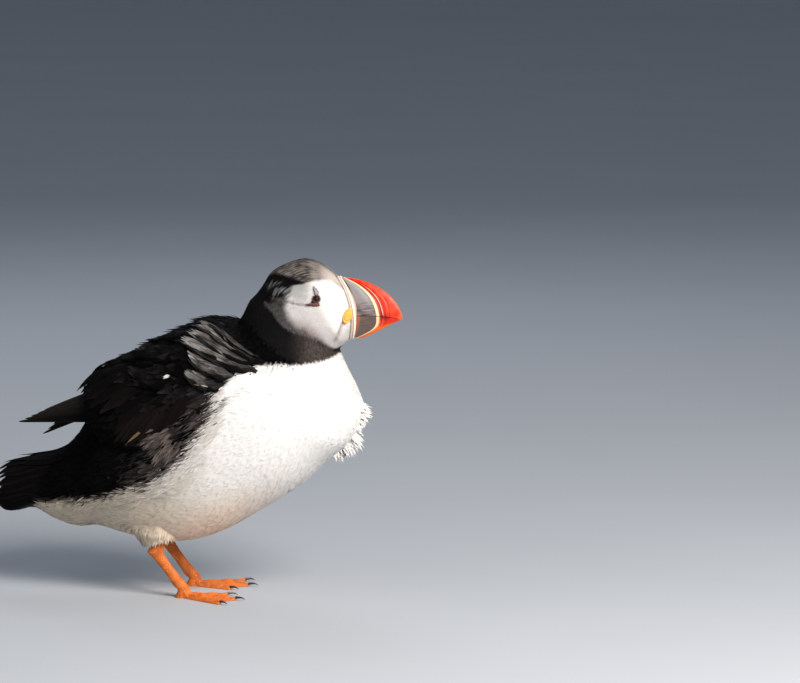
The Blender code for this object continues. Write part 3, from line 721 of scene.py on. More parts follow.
# ---------------------------------------------------------------- laying feathers on the form
def scatter(count, density, seed):
    """Roots spread evenly over the coat by its area times a density given on the body grid."""
    weight = (CELL_AREA * density)[:-1, :-1] + 1e-9
    by_t = np.concatenate([[0], np.cumsum(weight.sum(axis=1))])
    x, y = even_pairs(count, 0.5 + seed * 0.137, 0.5 + seed * 0.291)
    t_place = np.interp(x * by_t[-1], by_t, np.arange(T_STEPS + 1))
    row = np.minimum(t_place.astype(int), T_STEPS - 1)
    heap = np.cumsum(weight, axis=1)
    heap = heap / heap[:, -1:]
    found = np.searchsorted((heap + np.arange(T_STEPS)[:, None]).ravel(), row + y * 0.999999)
    column = np.clip(found - row * A_STEPS, 0, A_STEPS - 1)
    before = np.where(column > 0, heap[row, np.maximum(column - 1, 0)], 0.0)
    share = (y - before) / np.maximum(heap[row, column] - before, 1e-12)
    angle = (column + np.clip(share, 0, 1)) * FULL_TURN / A_STEPS
    return t_place * FACE_END / T_STEPS, angle


def surface_step(t, angle, way):
    """Change of (t, angle) for one mm along a tangent way, from the slopes of the coat's surface."""
    by_t, by_a = read(COAT_BY_T, t, angle), read(COAT_BY_A, t, angle)
    tt, ta, aa = dot(by_t, by_t)[..., 0], dot(by_t, by_a)[..., 0], dot(by_a, by_a)[..., 0]
    wt, wa = dot(way, by_t)[..., 0], dot(way, by_a)[..., 0]
    area = np.maximum(tt * aa - ta * ta, 1e-3 * tt * aa + 1e-9)
    return (wt * aa - wa * ta) / area, (wa * tt - wt * ta) / area


def lay(t, angle, length, rows, turn, height):
    """Centre lines that leave (t, angle) and follow the lie of the coat to the tail.

    Each step goes along the surface, turned down the bird's side by turn (radians), and height(v) mm
    over the coat's level. Returns centres, normals, and the (t, angle) of each row with its change
    for one mm across.
    """
    t, angle = np.array(t, float), np.array(angle, float)
    sign = np.where(angle % FULL_TURN < HALF_TURN, 1.0, -1.0)
    centres, ups, places = [], [], []
    parts = 5
    for r in range(rows + 1):
        for part in range(parts):
            normal = read(COAT_NORMAL, t, angle)
            back = -unit(read(COAT_BY_T, t, angle))
            across = np.cross(normal, back)
            swing = turn * sign
            way = back * np.cos(swing)[:, None] + across * np.sin(swing)[:, None]
            if part == 0:
                up = unit(read(LIE_NORMAL, t, angle))
                centres.append(coat_point(t, angle) + up * height(r / rows)[:, None])
                ups.append(up)
                side = surface_step(t, angle, np.cross(normal, way))
                places.append((t.copy(), angle.copy(), *side))
            dt, da = surface_step(t, angle, way)
            step = length / rows / parts
            t = t + np.clip(dt * step, -0.22, 0.22)
            angle = angle + np.clip(da * step, -0.1, 0.1)
    places = tuple(np.stack(group, axis=1) for group in zip(*places))
    return np.stack(centres, axis=1), np.stack(ups, axis=1), places


def width_profile(v, root=0.42, tip=0.5, widest=0.5):
    """Share of the full width along a vane: narrow root, widest at a share of it, narrower tip."""
    if widest == 0:
        return 1 - (1 - tip) * v
    rise = root + (1 - root) * np.sin(np.clip(v / widest, 0, 1) * HALF_TURN / 2)
    fall = tip + (1 - tip) * np.cos(np.clip((v - widest) / (1 - widest), 0, 1) * HALF_TURN / 2)
    return np.where(v < widest, rise, fall)


def coat_size(t, angle):
    """Length and width of the body feathers in mm: tiny by the bill, longest on the rump and flanks."""
    deg = degrees_from_ridge(angle)
    stops = (0, 4, 7, 10, 12, 13.5, 15, 16.0, 17, 18, 20, 22, 24, 25)
    white = np.interp(t, stops, (11, 13, 13, 12, 11, 9, 6.0, 5.0, 4.4, 4.0, 3.6, 3.0, 2.5, 2.0))
    black = np.interp(t, stops, (13, 15, 16, 18.5, 17.5, 9, 5.5, 4.8, 4.4, 4.2, 4.0, 3.2, 2.6, 2.0))
    upper = smooth((black_edge(t) - deg) / 10 + 0.5) * smooth((17 - t) / 1.5)
    length = blend(white, black, upper)
    flank = bell(deg, 98, 16) * smooth((9.8 - t) / 1.5) * smooth((t - 3.5) / 2)
    length = length * (1 + 0.35 * flank)
    slim = blend(0.28, 0.34, upper) * np.interp(t, (0, 12, 15, 25), (1, 1, 1.4, 1.5))
    return length, length * slim


def ragged_cut(rng, count, columns, round_off, fray):
    """How much shorter each column of a vane is: rounded towards the rims, and frayed at random."""
    x = np.linspace(-1, 1, columns)
    return round_off * x**2 + fray * rng.random((count, columns)) * (0.4 + 0.6 * np.abs(x))


def coat(name, t, angle, seed, rows, columns, look):
    """A field of body feathers, laid from their roots with the size, lie and colour of their place."""
    rng = np.random.default_rng(seed)
    count = len(t)
    root = coat_point(t, angle)
    clump = ripple(root, 16, seed + 5)
    length, width = coat_size(t, angle)
    length = length * rng.uniform(0.82, 1.18, count)
    width = width * rng.uniform(0.85, 1.2, count)
    turn = look["stray"] * rng.normal(size=count) + 0.10 * ripple(root, 22, seed + 6)
    turn = turn + lie_of_coat(t, angle)
    deep = look["deep"] * length * rng.uniform(0.8, 1.2, count)
    rise = look["lift"](t, angle, clump, rng.random(count)) * length

    def height(v):
        return -deep * (1 - v) ** 1.3 + rise * v**1.7

    centre, up, places = lay(t, angle, length, rows, turn, height)
    profile = width_profile(np.linspace(0, 1, rows + 1), tip=look["tip"])
    half = width[:, None] / 2 * profile
    arches = (width * look["arch"])[:, None] * (0.45 + 0.55 * profile)
    cut = ragged_cut(rng, count, columns, look["round"], look["fray"])
    tints = coat_tints(places, centre, half, rng, columns, look, root)
    place = skin_place(t, angle)
    return vanes(name, centre, up, half, arches, cut, tints, place, look["camber"])


def coat_tints(places, centre, half, rng, columns, look, root):
    """Colour over each vane: partly one colour, its place's own, and partly that of each corner's place.

    The buried root is darker: painted shade under the overlapping feathers. Black vanes take a paler rim and
    tip over the mantle and the wing, partly wear and partly painted sheen.
    """
    row_t, row_a, side_t, side_a = places
    count, rows = row_t.shape
    x = np.linspace(-1, 1, columns)
    t = row_t[..., None] + x * (half * side_t)[..., None]
    angle = row_a[..., None] + x * (half * side_a)[..., None]
    spots = np.repeat(centre[:, :, None], columns, axis=2)
    jitter = look["blur"] * rng.normal(size=count)[:, None, None]
    each = markings(t + jitter, angle, spots)
    main = max(1, round(0.7 * (rows - 1)))
    whole = markings(row_t[:, main], row_a[:, main], centre[:, main])[:, None, None]
    crisp = np.maximum(smooth((t - 12.6) / 1.4), look["crisp"])
    colour = blend(whole * np.ones_like(each), each, crisp)
    dark = smooth((0.16 - colour.mean(axis=-1)) / 0.12)
    v = np.linspace(0, 1, rows)[None, :, None]
    shade = 1 + (look["shade"] + 0.2 * dark) * rng.normal(size=count)[:, None, None]
    # paler rims and tips: partly wear, partly painted sheen
    worn = worn_and_sheen_share(row_t[:, 0], row_a[:, 0], root) * rng.uniform(0.3, 1.0, count)
    rim = np.clip(0.05 + 0.8 * v**4 + 0.55 * np.abs(x) ** 4 * v, 0, 1) * worn[:, None, None] * dark
    colour = blend(colour * np.clip(shade, 0.5, 1.6)[..., None], WORN_AND_SHEEN, np.clip(rim, 0, 1))
    # darker towards the buried root: painted shade under the overlapping feathers
    return colour * (1 - look["root_dark"] * (1 - v) ** 1.3)[..., None]


def worn_and_sheen_share(t, angle, root):
    """Where the black feathers have paler tips, partly wear and partly painted sheen: faintly over the mantle
    and the wing.
    """
    deg = degrees_from_ridge(angle)
    patches = np.clip(0.2 + 1.2 * ripple(root, 24, 9), 0, 1)
    return 0.22 * patches * patch_at(t, deg, 10.8, 50, 2.6, 32, 4)


def lie_of_coat(t, angle):
    """How far the coat's lie turns down the bird's side, radians, from straight to the tail."""
    deg = degrees_from_ridge(angle)
    breast, flank = patch_at(t, deg, 12.8, 95, 1.2, 25), patch_at(t, deg, 8, 100, 2.5, 20)
    return 0.25 * breast + 0.12 * flank - 0.18 * patch_at(t, deg, 11.0, 50, 2.0, 25)


def lift_soft(t, angle, clump, chance):
    """Head and neck feathers lie close; a few tips stand a little."""
    return 0.01 + 0.015 * clump + 0.05 * chance**6


def lift_mantle(t, angle, clump, chance):
    """Back and wing feathers, ruffled: some rows stand up, most lie flat."""
    deg = degrees_from_ridge(angle)
    ruffled = patch_at(t, deg, 10.2, 0, 3.2, 72, 4) * (1 - 0.85 * patch_at(t, deg, 11.4, 48, 1.7, 28, 4))
    return 0.015 + ruffled * np.clip(0.03 + 0.12 * clump + 0.16 * chance**3, 0, 0.3)


def lift_flank(t, angle, clump, chance):
    """White body feathers: close over the breast, looser along the flank and under the tail."""
    deg = degrees_from_ridge(angle)
    loose = bell(deg, 102, 18) * smooth((10 - t) / 2)
    under = smooth((7 - t) / 3)
    return 0.003 + 0.006 * clump + (0.008 + 0.07 * loose + 0.02 * under) * chance**4


HEAD_LOOK = {
    "lift": lift_soft, "deep": 0.16, "stray": 0.10, "tip": 0.5, "round": 0.16, "fray": 0.05,
    "arch": 0.06, "camber": 0.25, "crisp": 0.85, "blur": 0.02, "shade": 0.035, "root_dark": 0.22,
}
WHITE_LOOK = {
    "lift": lift_flank, "deep": 0.07, "stray": 0.12, "tip": 0.34, "round": 0.25, "fray": 0.10,
    "arch": 0.028, "camber": 0.06, "crisp": 0.4, "blur": 0.09, "shade": 0.02, "root_dark": 0.0,
}
BLACK_LOOK = {
    "lift": lift_mantle, "deep": 0.20, "stray": 0.12, "tip": 0.42, "round": 0.14, "fray": 0.14,
    "arch": 0.07, "camber": 0.5, "crisp": 0.35, "blur": 0.05, "shade": 0.10, "root_dark": 0.45,
}


# ---------------------------------------------------------------- node groups and materials
def node(tree, kind, **values):
    """A new node with its settings. A name with a leading in_ sets an input, or links a socket to it."""
    made = tree.nodes.new(kind)
    for key, value in values.items():
        label = key[3:].replace("_", " ")
        if not key.startswith("in_"):
            setattr(made, key, value)
            continue
        socket = made.inputs[int(label) if label.isdigit() else label]
        if isinstance(value, bpy.types.NodeSocket):
            tree.links.new(value, socket)
        else:
            socket.default_value = value
    return made


def new_group(name, inputs, outputs):
    """An empty node group with number inputs (name, default) and number outputs."""
    group = bpy.data.node_groups.new(name, "ShaderNodeTree")
    for label, value in inputs:
        socket = group.interface.new_socket(label, in_out="INPUT", socket_type="NodeSocketFloat")
        socket.default_value = value
    for label in outputs:
        group.interface.new_socket(label, in_out="OUTPUT", socket_type="NodeSocketFloat")
    return group, group.nodes.new("NodeGroupInput"), group.nodes.new("NodeGroupOutput")


def grain_group():
    """Uneven colour and fine relief in space: two sizes of noise on the piece's own coordinates."""
    inputs = (("Size", 400.0), ("Fine Size", 1800.0))
    group, start, end = new_group("fine grain", inputs, ("Shade", "Height"))
    place = node(group, "ShaderNodeTexCoord").outputs["Object"]
    for size, detail, result in (("Size", 4.0, "Shade"), ("Fine Size", 3.0, "Height")):
        values = {"in_Vector": place, "in_Scale": start.outputs[size], "in_Detail": detail}
        noise = node(group, "ShaderNodeTexNoise", **values, in_Roughness=0.6)
        group.links.new(noise.outputs["Fac"], end.inputs[result])
    return group


def barb_group():
    """Lines of barbs on a vane: waves that leave the shaft and slant towards the tip."""
    group, start, end = new_group("barbs of a vane", (("Barbs", 26.0), ("Slant", 0.8)), ("Barb",))
    place = node(group, "ShaderNodeUVMap", uv_map="Vane").outputs["UV"]
    parts = node(group, "ShaderNodeSeparateXYZ", in_Vector=place).outputs
    noise = node(group, "ShaderNodeTexNoise", in_Vector=place, in_Scale=9.0, in_Detail=2.0)

    def maths(operation, first, second=0.0):
        made = node(group, "ShaderNodeMath", operation=operation, in_0=first, in_1=second)
        return made.outputs["Value"]

    off = maths("ABSOLUTE", maths("SUBTRACT", parts["X"], 0.5))
    slanted = maths("SUBTRACT", parts["Y"], maths("MULTIPLY", off, start.outputs["Slant"]))
    bent = maths("ADD", slanted, maths("MULTIPLY", noise.outputs["Fac"], 0.03))
    wave = maths("SINE", maths("MULTIPLY", bent, maths("MULTIPLY", start.outputs["Barbs"], FULL_TURN)))
    group.links.new(maths("ADD", maths("MULTIPLY", wave, 0.5), 0.5), end.inputs["Barb"])
    return group


def scale_group():
    """Small flat scales of leg skin: cells of a Voronoi pattern, dark and low along their borders."""
    group, start, end = new_group("leg scales", (("Size", 900.0),), ("Border", "Height"))
    values = {"in_Vector": node(group, "ShaderNodeTexCoord").outputs["Object"]}
    values["in_Scale"] = start.outputs["Size"]
    cells = node(group, "ShaderNodeTexVoronoi", feature="DISTANCE_TO_EDGE", **values)
    values = {"in_Value": cells.outputs["Distance"], "in_From_Min": 0.0, "in_From_Max": 0.16}
    height = node(group, "ShaderNodeMapRange", **values).outputs["Result"]
    border = node(group, "ShaderNodeMath", operation="SUBTRACT", in_0=1.0, in_1=height)
    group.links.new(height, end.inputs["Height"])
    group.links.new(border.outputs["Value"], end.inputs["Border"])
    return group


GRAIN, BARBS, SCALES = grain_group(), barb_group(), scale_group()


def start_material(name, **shader_values):
    """A material with its shader's own sockets set, and the piece's Tint attribute at hand."""
    material = bpy.data.materials.new(name)
    material.use_nodes = True
    tree = material.node_tree
    shader = tree.nodes["Principled BSDF"]
    for key, value in shader_values.items():
        shader.inputs[key.replace("_", " ")].default_value = value
    tint = node(tree, "ShaderNodeAttribute", attribute_name="Tint")
    return material, tree, shader, tint.outputs["Color"]


def placed(tree, group, **values):
    """A node group placed in a material with its own values."""
    return node(tree, "ShaderNodeGroup", node_tree=group, **{f"in_{key}": v for key, v in values.items()})


def shaded(tree, colour, mask, low, high):
    """A colour multiplied by a number that runs from low to high with a mask."""
    ramp = node(tree, "ShaderNodeMapRange", in_Value=mask, in_To_Min=low, in_To_Max=high)
    values = {"in_0": colour, "in_Scale": ramp.outputs["Result"]}
    return node(tree, "ShaderNodeVectorMath", operation="SCALE", **values).outputs["Vector"]


def bumped(tree, shader, height, distance, strength=1.0, **under):
    """Relief from a height, in metres, into the shader's normal; in_Normal is a coarser relief below."""
    values = {"in_Height": height, "in_Distance": distance, "in_Strength": strength, **under}
    relief = node(tree, "ShaderNodeBump", **values).outputs["Normal"]
    tree.links.new(relief, shader.inputs["Normal"])
    return relief


def plumage(name, roughness, sheen, barbs, specular=0.3, low=0.84, high=1.1, relief=0.00012):
    """Feather material: tint, barb lines, soft uneven shade and a dry sheen."""
    values = {"Sheen_Weight": sheen, "Sheen_Roughness": 0.5, "Specular_IOR_Level": specular}
    material, tree, shader, colour = start_material(name, Roughness=roughness, **values)
    lines = placed(tree, BARBS, Barbs=barbs)
    grain = placed(tree, GRAIN, Size=260.0, Fine_Size=2400.0)
    colour = shaded(tree, colour, lines.outputs["Barb"], low, high)
    colour = shaded(tree, colour, grain.outputs["Shade"], low, 2 - low)
    tree.links.new(colour, shader.inputs["Base Color"])
    bumped(tree, shader, lines.outputs["Barb"], relief, 0.6)
    return material


def skin_material(name, roughness, size, fine, relief, low=0.8, high=1.2, **values):
    """Skin or horn: tint, uneven shade and fine relief."""
    material, tree, shader, colour = start_material(name, Roughness=roughness, **values)
    grain = placed(tree, GRAIN, Size=size, Fine_Size=fine)
    colour = shaded(tree, colour, grain.outputs["Shade"], low, high)
    tree.links.new(colour, shader.inputs["Base Color"])
    bumped(tree, shader, grain.outputs["Height"], relief)
    return material


def leg_material():
    """Leg skin: orange, with dark-bordered flat scales over fine grain."""
    values = {"Roughness": 0.46, "Specular_IOR_Level": 0.28}
    material, tree, shader, colour = start_material("leg skin orange", **values)
    grain = placed(tree, GRAIN, Size=170.0, Fine_Size=2600.0)
    scales = placed(tree, SCALES, Size=760.0)
    colour = shaded(tree, colour, grain.outputs["Shade"], 0.78, 1.18)
    colour = shaded(tree, colour, scales.outputs["Border"], 1.04, 0.72)
    tree.links.new(colour, shader.inputs["Base Color"])
    coarse = bumped(tree, shader, scales.outputs["Height"], 0.00022, 0.8)
    bumped(tree, shader, grain.outputs["Height"], 0.00006, 0.6, in_Normal=coarse)
    return material


BLACK_PLUMAGE = plumage("black plumage", 0.65, 0.0, 38.0, specular=0.025)
WHITE_PLUMAGE = plumage("white plumage", 0.8, 0.1, 24.0, 0.1, 0.97, 1.02, 0.00003)
FACE_PLUMAGE = plumage("face plumage", 0.75, 0.0, 10.0, 0.08, 0.94, 1.04, 0.00006)
UNDER_SKIN = skin_material("skin under the plumage", 0.8, 300.0, 1500.0, 0.0002)
BILL_HORN = skin_material(
    "bill sheath horn", 0.36, 420.0, 1600.0, 0.00007, 0.88, 1.12, Coat_Weight=0.04,
    Coat_Roughness=0.2, Specular_IOR_Level=0.2,
)
RIDGE_SKIN = skin_material("bill ridge skin", 0.5, 600.0, 2200.0, 0.00015, 0.85, 1.15)
ROSETTE_SKIN = skin_material("gape rosette skin", 0.42, 700.0, 1800.0, 0.00022, 0.8, 1.2)
PLATE_HORN = skin_material("eye plate horn", 0.5, 900.0, 2500.0, 0.0001)
CLAW_HORN = skin_material("claw horn", 0.3, 900.0, 2600.0, 0.00006, 0.7, 1.4, Coat_Weight=0.3)
EYE_GLOSS = skin_material(
    "eye", 0.34, 2000.0, 3000.0, 0.0, 0.85, 1.15, Coat_Weight=0.03, Coat_Roughness=0.15,
    Specular_IOR_Level=0.16,
)
LEG_SKIN = leg_material()


def finish(piece, material, slot, *nodes):
    """Gives a piece its material, hangs it under the root, and hides the nodes of the model that it stands
    for. The slot is not used.
    """
    piece.data.materials.append(material)
    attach(piece, "root")
    if nodes:
        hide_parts(*nodes)


def loose_vanes(name, centre, up, width, arch, cut, tints, place, soft=None, **shape):
    """Vanes of given widths: shape goes to width_profile, and the arch is a share of the width."""
    profile = width_profile(np.linspace(0, 1, centre.shape[1]), **shape)
    half, arches = width[:, None] / 2 * profile, (width * arch)[:, None] * profile
    return vanes(name, centre, up, half, arches, cut, tints, place, soft)


# ---------------------------------------------------------------- bill
def bill_line(later, root_share, share):
    """A line along the bill that starts on its root, clear of the ridge there."""
    root = bezier(BILL_BASE, root_share) + (GAP, 0)
    return bezier((root, *later), share)


def bill_surface(share, edge, end_share, half_points, inset):
    """Growth lines of a mandible as rings, from the gape round its edge and back, mirrored.

    Each growth line is the root line scaled to its own length between gape and edge. Its half breadth
    is thin at the edge and full at the gape: thin + (broad - thin) * (1 - along^1.6), less the inset
    in mm, given over (share, along).
    """
    share = share[:, None]
    along = np.linspace(1, 0, half_points)
    split = np.array([0, (1 if end_share < GAPE_SHARE else -1) * GAP / 2])
    root = bezier(BILL_BASE, GAPE_SHARE + (end_share - GAPE_SHARE) * along)
    chord0 = root[0] - root[-1]
    straight = root[-1] + chord0 * along[:, None]
    bow_along = (root - straight) @ chord0 / (chord0 @ chord0)
    bow_out = (root - straight) @ np.array([-chord0[1], chord0[0]]) / (chord0 @ chord0)
    gape_end = bill_line(GAPE, GAPE_SHARE, share**0.8) + split
    chord = bill_line(edge, end_share, share**2.6) - gape_end
    turned = np.stack([-chord[..., 1], chord[..., 0]], axis=-1)
    line = gape_end + chord * (along + bow_along)[:, None] + turned * bow_out[:, None]
    narrow = (1 - share) ** 0.75
    broad = np.maximum(BILL_HALF_WIDTH * narrow, 0.55)
    thin = np.maximum(CULMEN_HALF_WIDTH * narrow, 0.32)
    half = thin + (broad - thin) * (1 - along**1.6)
    half = np.maximum(half - inset(share, along), 0.25)
    half[:, 0] = 0.0
    right = np.stack([line[..., 0], -half, line[..., 1]], axis=-1)
    under = right[:, -1:] * (1, 0, 1)
    left = right[:, :0:-1] * (1, -1, 1)
    return np.concatenate([right, under, left], axis=1)


def upper_pattern(share, along):
    """Which stripe a place of the upper mandible lies in: the stripes sweep back along the culmen."""
    return share + 0.19 * along**3 - 0.045 * np.sin(HALF_TURN * along)


def lower_pattern(share, along):
    """Which stripe a place of the lower mandible lies in: the stripes bow down and back to the chin."""
    return share + 0.16 * along**5 - 0.13 * np.sin(HALF_TURN * along) ** 1.2


def upper_inset(share, along):
    """Grooves, the proud pale line and the nostril slit of the upper mandible, in mm."""
    slit = 0.55 * np.exp(-(((share - 0.2) / 0.1) ** 4) - ((along - 0.13 - 0.05 * share) / 0.035) ** 2)
    share = upper_pattern(share, along)
    cuts = 0.40 * bell(share, 0.50, 0.022) + 0.50 * bell(share, 0.585, 0.016)
    cuts = cuts + 0.25 * bell(share, 0.685, 0.014) * smooth((0.7 - along) / 0.3)
    proud = -0.30 * bell(share, 0.415, 0.028) - 0.30 * bell(share, 0.545, 0.014)
    return (cuts + proud) * smooth((1 - along) / 0.1 + 0.3) + slit


def lower_inset(share, along):
    """Grooves and the proud pale line of the lower mandible, in mm."""
    share = lower_pattern(share, along)
    cuts = 0.4 * bell(share, 0.50, 0.022) + 0.4 * bell(share, 0.60, 0.018)
    return (cuts - 0.28 * bell(share, 0.415, 0.028)) * smooth((1 - along) / 0.1 + 0.2)


def bill_tints(share, along, points, lower):
    """Colours over a mandible by growth line: slate, pale line, dark red, then red to the tip, with painted
    shade and highlights.
    """
    share, along = np.broadcast_arrays(share[:, None], along)
    uneven = ripple(points, 6, 41)
    streak = ripple(points * (0.5, 0.2, 3.0), 5, 43)
    place, share = share, (lower_pattern if lower else upper_pattern)(share, along)
    front = smooth((share - 0.449) / 0.016)
    if lower:
        horn = blend(SLATE_LOWER, SLATE_DUSKY, np.clip(0.30 + 0.4 * streak - 0.5 * along, 0, 1))
        horn = blend(horn, (0.33, 0.10, 0.055), smooth((0.075 - place) / 0.04))
        red = blend(BILL_RED, BILL_ORANGE, smooth((along - 0.25) / 0.35))
        # darker by the gape: painted shade between the mandibles
        red = blend(red, BILL_DEEP, 0.85 * smooth((0.22 - along) / 0.2) * smooth((0.8 - share) / 0.2))
    else:
        low = smooth((0.42 - along) / 0.3) * smooth((0.46 - share) / 0.1)
        horn = blend(SLATE, SLATE_DUSKY, np.clip(low * (0.45 + 0.75 * streak), 0, 1))
        # a lighter band across the slate: painted highlight
        horn = blend(horn, (0.33, 0.33, 0.34), 0.55 * bell(share, 0.30, 0.08) * smooth(along * 2))
        red = blend(BILL_RED, (0.76, 0.065, 0.02), np.clip(0.35 + 0.5 * uneven, 0, 1))
        # dark red behind the pale line and by the gape: painted shade
        behind = smooth((0.54 - share) / 0.02) * (0.55 + 0.45 * smooth((0.5 - share) / 0.03))
        red = blend(red, BILL_DEEP, 0.92 * behind * smooth((0.93 - along) / 0.25))
        red = blend(red, BILL_DEEP, 0.5 * smooth((0.16 - along) / 0.14) * smooth((0.85 - share) / 0.2))
    colour = blend(horn, red, front)
    line = smooth((share - 0.382) / 0.016) * (1 - smooth((share - 0.444) / 0.014))
    edge_run = smooth((along - 0.93) / 0.05) * (1 - front) if lower else 0 * share
    colour = blend(colour, BILL_CREAM, np.clip(line + edge_run, 0, 1))
    fringe = bell(share, 0.452, 0.011) if not lower else bell(share, 0.46, 0.014)
    colour = blend(colour, (0.84, 0.33, 0.10), 0.65 * fringe)
    # a bright line along the proud ridge: painted highlight
    bright = bell(share, 0.546, 0.0075) * smooth((0.80 - along) / 0.2) * smooth(along / 0.08)
    colour = blend(colour, (0.95, 0.66, 0.58), bright * (0.15 if lower else 0.85))
    # a dark line along a groove: painted shade
    colour = blend(colour, (0.25, 0.016, 0.009), 0.55 * bell(share, 0.585, 0.012))
    tip = smooth((share - 0.86) / 0.12)
    return blend(colour, (0.88, 0.16, 0.06), 0.5 * tip)


def make_bill():
    """Both mandibles, with fine growth lines, grooves and the nostril slit."""
    share = np.concatenate([np.linspace(0, 0.9, 181), np.linspace(0.9, 0.992, 22)[1:]])
    half_points = 40
    along = np.linspace(1, 0, half_points)
    ring_along = np.concatenate([along, along[-1:], along[:0:-1]])
    for name, edge, end, inset, lower in (
        ("bill_sheath_upper", CULMEN, 0.0, upper_inset, False),
        ("bill_sheath_lower", GONYS, 1.0, lower_inset, True),
    ):
        rings = bill_surface(share, edge, end, half_points, inset)
        tints = bill_tints(share, ring_along, rings, lower)
        piece = shells(name, [(rings, tints)], sharp_deg=60)
        finish(piece, BILL_HORN, "bill_sheath", "bill_lower" if lower else "bill_upper")


def make_bill_ridge():
    """The pale fleshy ridge round the bill's root: a rounded cord of skin with a fine fold along it."""
    angle = np.linspace(0, FULL_TURN, 161)[:-1]
    rings, tints = [], []
    for s in np.linspace(-0.28, 1.32, 30):
        inner = min(max(s, 0), 1)
        back = RIDGE_LENGTH * (1 - s)
        swell = math.sin(HALF_TURN * min(0.5, inner * 1.15 + 0.12)) ** 0.8
        proud = RIDGE_PROUD * swell - 3.2 * max(-s, 0) - 2.5 * max((s - 0.55) / 0.77, 0) ** 2.4
        fold = 0.28 * bell(s, 0.42, 0.07)
        lump = 0.08 * np.sin(angle * 37 + 3 * s) * math.sin(HALF_TURN * inner)
        rings.append(face_ring(angle, back, proud - fold + lump))
        tan = bell(s, 0.42, 0.13)
        shade = 0.85 * tan + 0.35 * smooth((0.12 - s) / 0.2) + 0.7 * smooth((s - 0.93) / 0.2)
        tints.append(np.tile(blend(RIDGE_CREAM, RIDGE_TAN, shade), (len(angle), 1)))
    piece = shells("bill_root_ridge", [(np.array(rings), np.array(tints))], sharp_deg=70)
    finish(piece, RIDGE_SKIN, "bill_ridge", "bill_ridge")


# ---------------------------------------------------------------- eyes and face ornaments
def ball_grid(rings, count):
    """Latitudes from pole to pole in a column, and longitudes in a row, for the rings of a ball."""
    latitude = np.linspace(0.02, HALF_TURN - 0.02, rings)[:, None]
    return latitude, around(count)[None, :]


def set_in(local, centre, axes, mirror):
    """Local points (forwards, out, up) set at a place on the right cheek, or mirrored to the left."""
    return (local @ axes.T + centre) * np.array([1, mirror, 1])


def eye_ball(centre, axes, mirror):
    """The eyeball: pole facing out, a dark pupil and a brown iris by the angle from that pole."""
    latitude, longitude = ball_grid(40, 48)
    ring = np.sin(latitude) * EYE_RADIUS
    x, z = ring * np.cos(longitude), ring * np.sin(longitude)
    local = np.stack([x, np.cos(latitude) * EYE_RADIUS + 0 * x, z], axis=-1)
    tint = blend((0.002, 0.002, 0.002), (0.022, 0.009, 0.007), smooth((latitude - 0.50) / 0.06) + 0 * x)
    return set_in(local, centre, axes, mirror), tint


def make_lid(name, centre, axes, mirror):
    """The eye's fleshy rim: a rounded cord along an almond line round the ball, closed on itself."""
    turn = np.linspace(0, FULL_TURN, 65)[:-1]
    wide, high = 2.2, 2.1
    x, z = wide * np.cos(turn) * (1 + 0.06 * np.cos(turn)), high * np.sin(turn)
    path = np.stack([x, 1.45 - 0.32 * (x / wide) ** 2, z], axis=-1)
    way = unit(np.roll(path, -1, axis=0) - np.roll(path, 1, axis=0))
    out = np.array([0.0, 1.0, 0.0])
    across = unit(np.cross(way, out))
    section = around(14)[:, None]
    ring = across[:, None] * np.cos(section) + out * np.sin(section)
    rings = path[:, None] + ring * (0.30 + 0.03 * np.sin(turn * 9))[:, None, None]
    points = set_in(rings, centre, axes, mirror).reshape(-1, 3)
    number = np.arange(len(points)).reshape(rings.shape[:2])
    after, ahead = np.roll(number, -1, axis=1), np.roll(number, -1, axis=0)
    faces = np.stack([number, after, np.roll(ahead, -1, axis=1), ahead], axis=-1).reshape(-1, 4)
    skin = facing_out(points, faces, np.zeros((0, 3), int))
    piece = put_mesh(name, *skin, np.broadcast_to(LID_RED, points.shape), sharp_deg=60)
    finish(piece, PLATE_HORN, "eye_plate")


def plate(spot, axes, mirror, half_long, half_high, half_out, taper, colour):
    """(rings, tints) of a horny plate: a flattened ball that narrows by taper towards one end.

    Half height = half_high * sin(latitude)^0.6 * (1 - |taper| (1 + sign(taper) cos(latitude)) / 2).
    The rim, where the plate leaves the skin, is dark.
    """
    latitude, longitude = ball_grid(32, 32)
    along = np.cos(latitude) + 0 * longitude
    ring = np.sin(latitude) ** 0.6
    narrow = 1 - abs(taper) * (1 + math.copysign(1, taper) * along) / 2
    high = ring * np.cos(longitude) * half_high * narrow
    out = ring * np.sin(longitude) * half_out * (0.6 + 0.4 * narrow)
    local = np.stack([along * half_long, out, high], axis=-1)
    return set_in(local, spot, axes, mirror), blend(PLATE_EDGE, colour, smooth((out / half_out - 0.25) / 0.3))


def make_eyes():
    """Eyeballs, dark rims, the grey plates over them and the red-brown plates under them."""
    lean = math.radians(25)
    leaning = ((-math.sin(lean), 0, math.cos(lean)), (0, 1, 0), (math.cos(lean), 0, math.sin(lean)))
    plates = (
        ("over", "upper", UPPER_SPOT, leaning, 0.15, (3.0, 1.7, 0.75, 0.85, PLATE_GREY)),
        ("under", "lower", LOWER_SPOT, np.eye(3), 0.1, (4.3, 1.55, 0.75, -0.85, PLATE_BROWN)),
    )
    for side, mirror in (("right", 1), ("left", -1)):
        centre, axes = EYE_SPOT
        centre = centre - axes[:, 1] * EYE_SUNK
        piece = shells(f"eyeball_{side}", [eye_ball(centre, axes, mirror)])
        finish(piece, EYE_GLOSS, "eye", f"eye_{side}")
        make_lid(f"eye_rim_{side}", centre, axes, mirror)
        for label, node_label, (spot, axes), turned, sunk, sizes in plates:
            rings = plate(spot - axes[:, 1] * sunk, axes @ np.array(turned), mirror, *sizes)
            piece = shells(f"eye_plate_{label}_{side}", [rings])
            finish(piece, PLATE_HORN, "eye_plate", f"eye_plate_{node_label}_{side}")


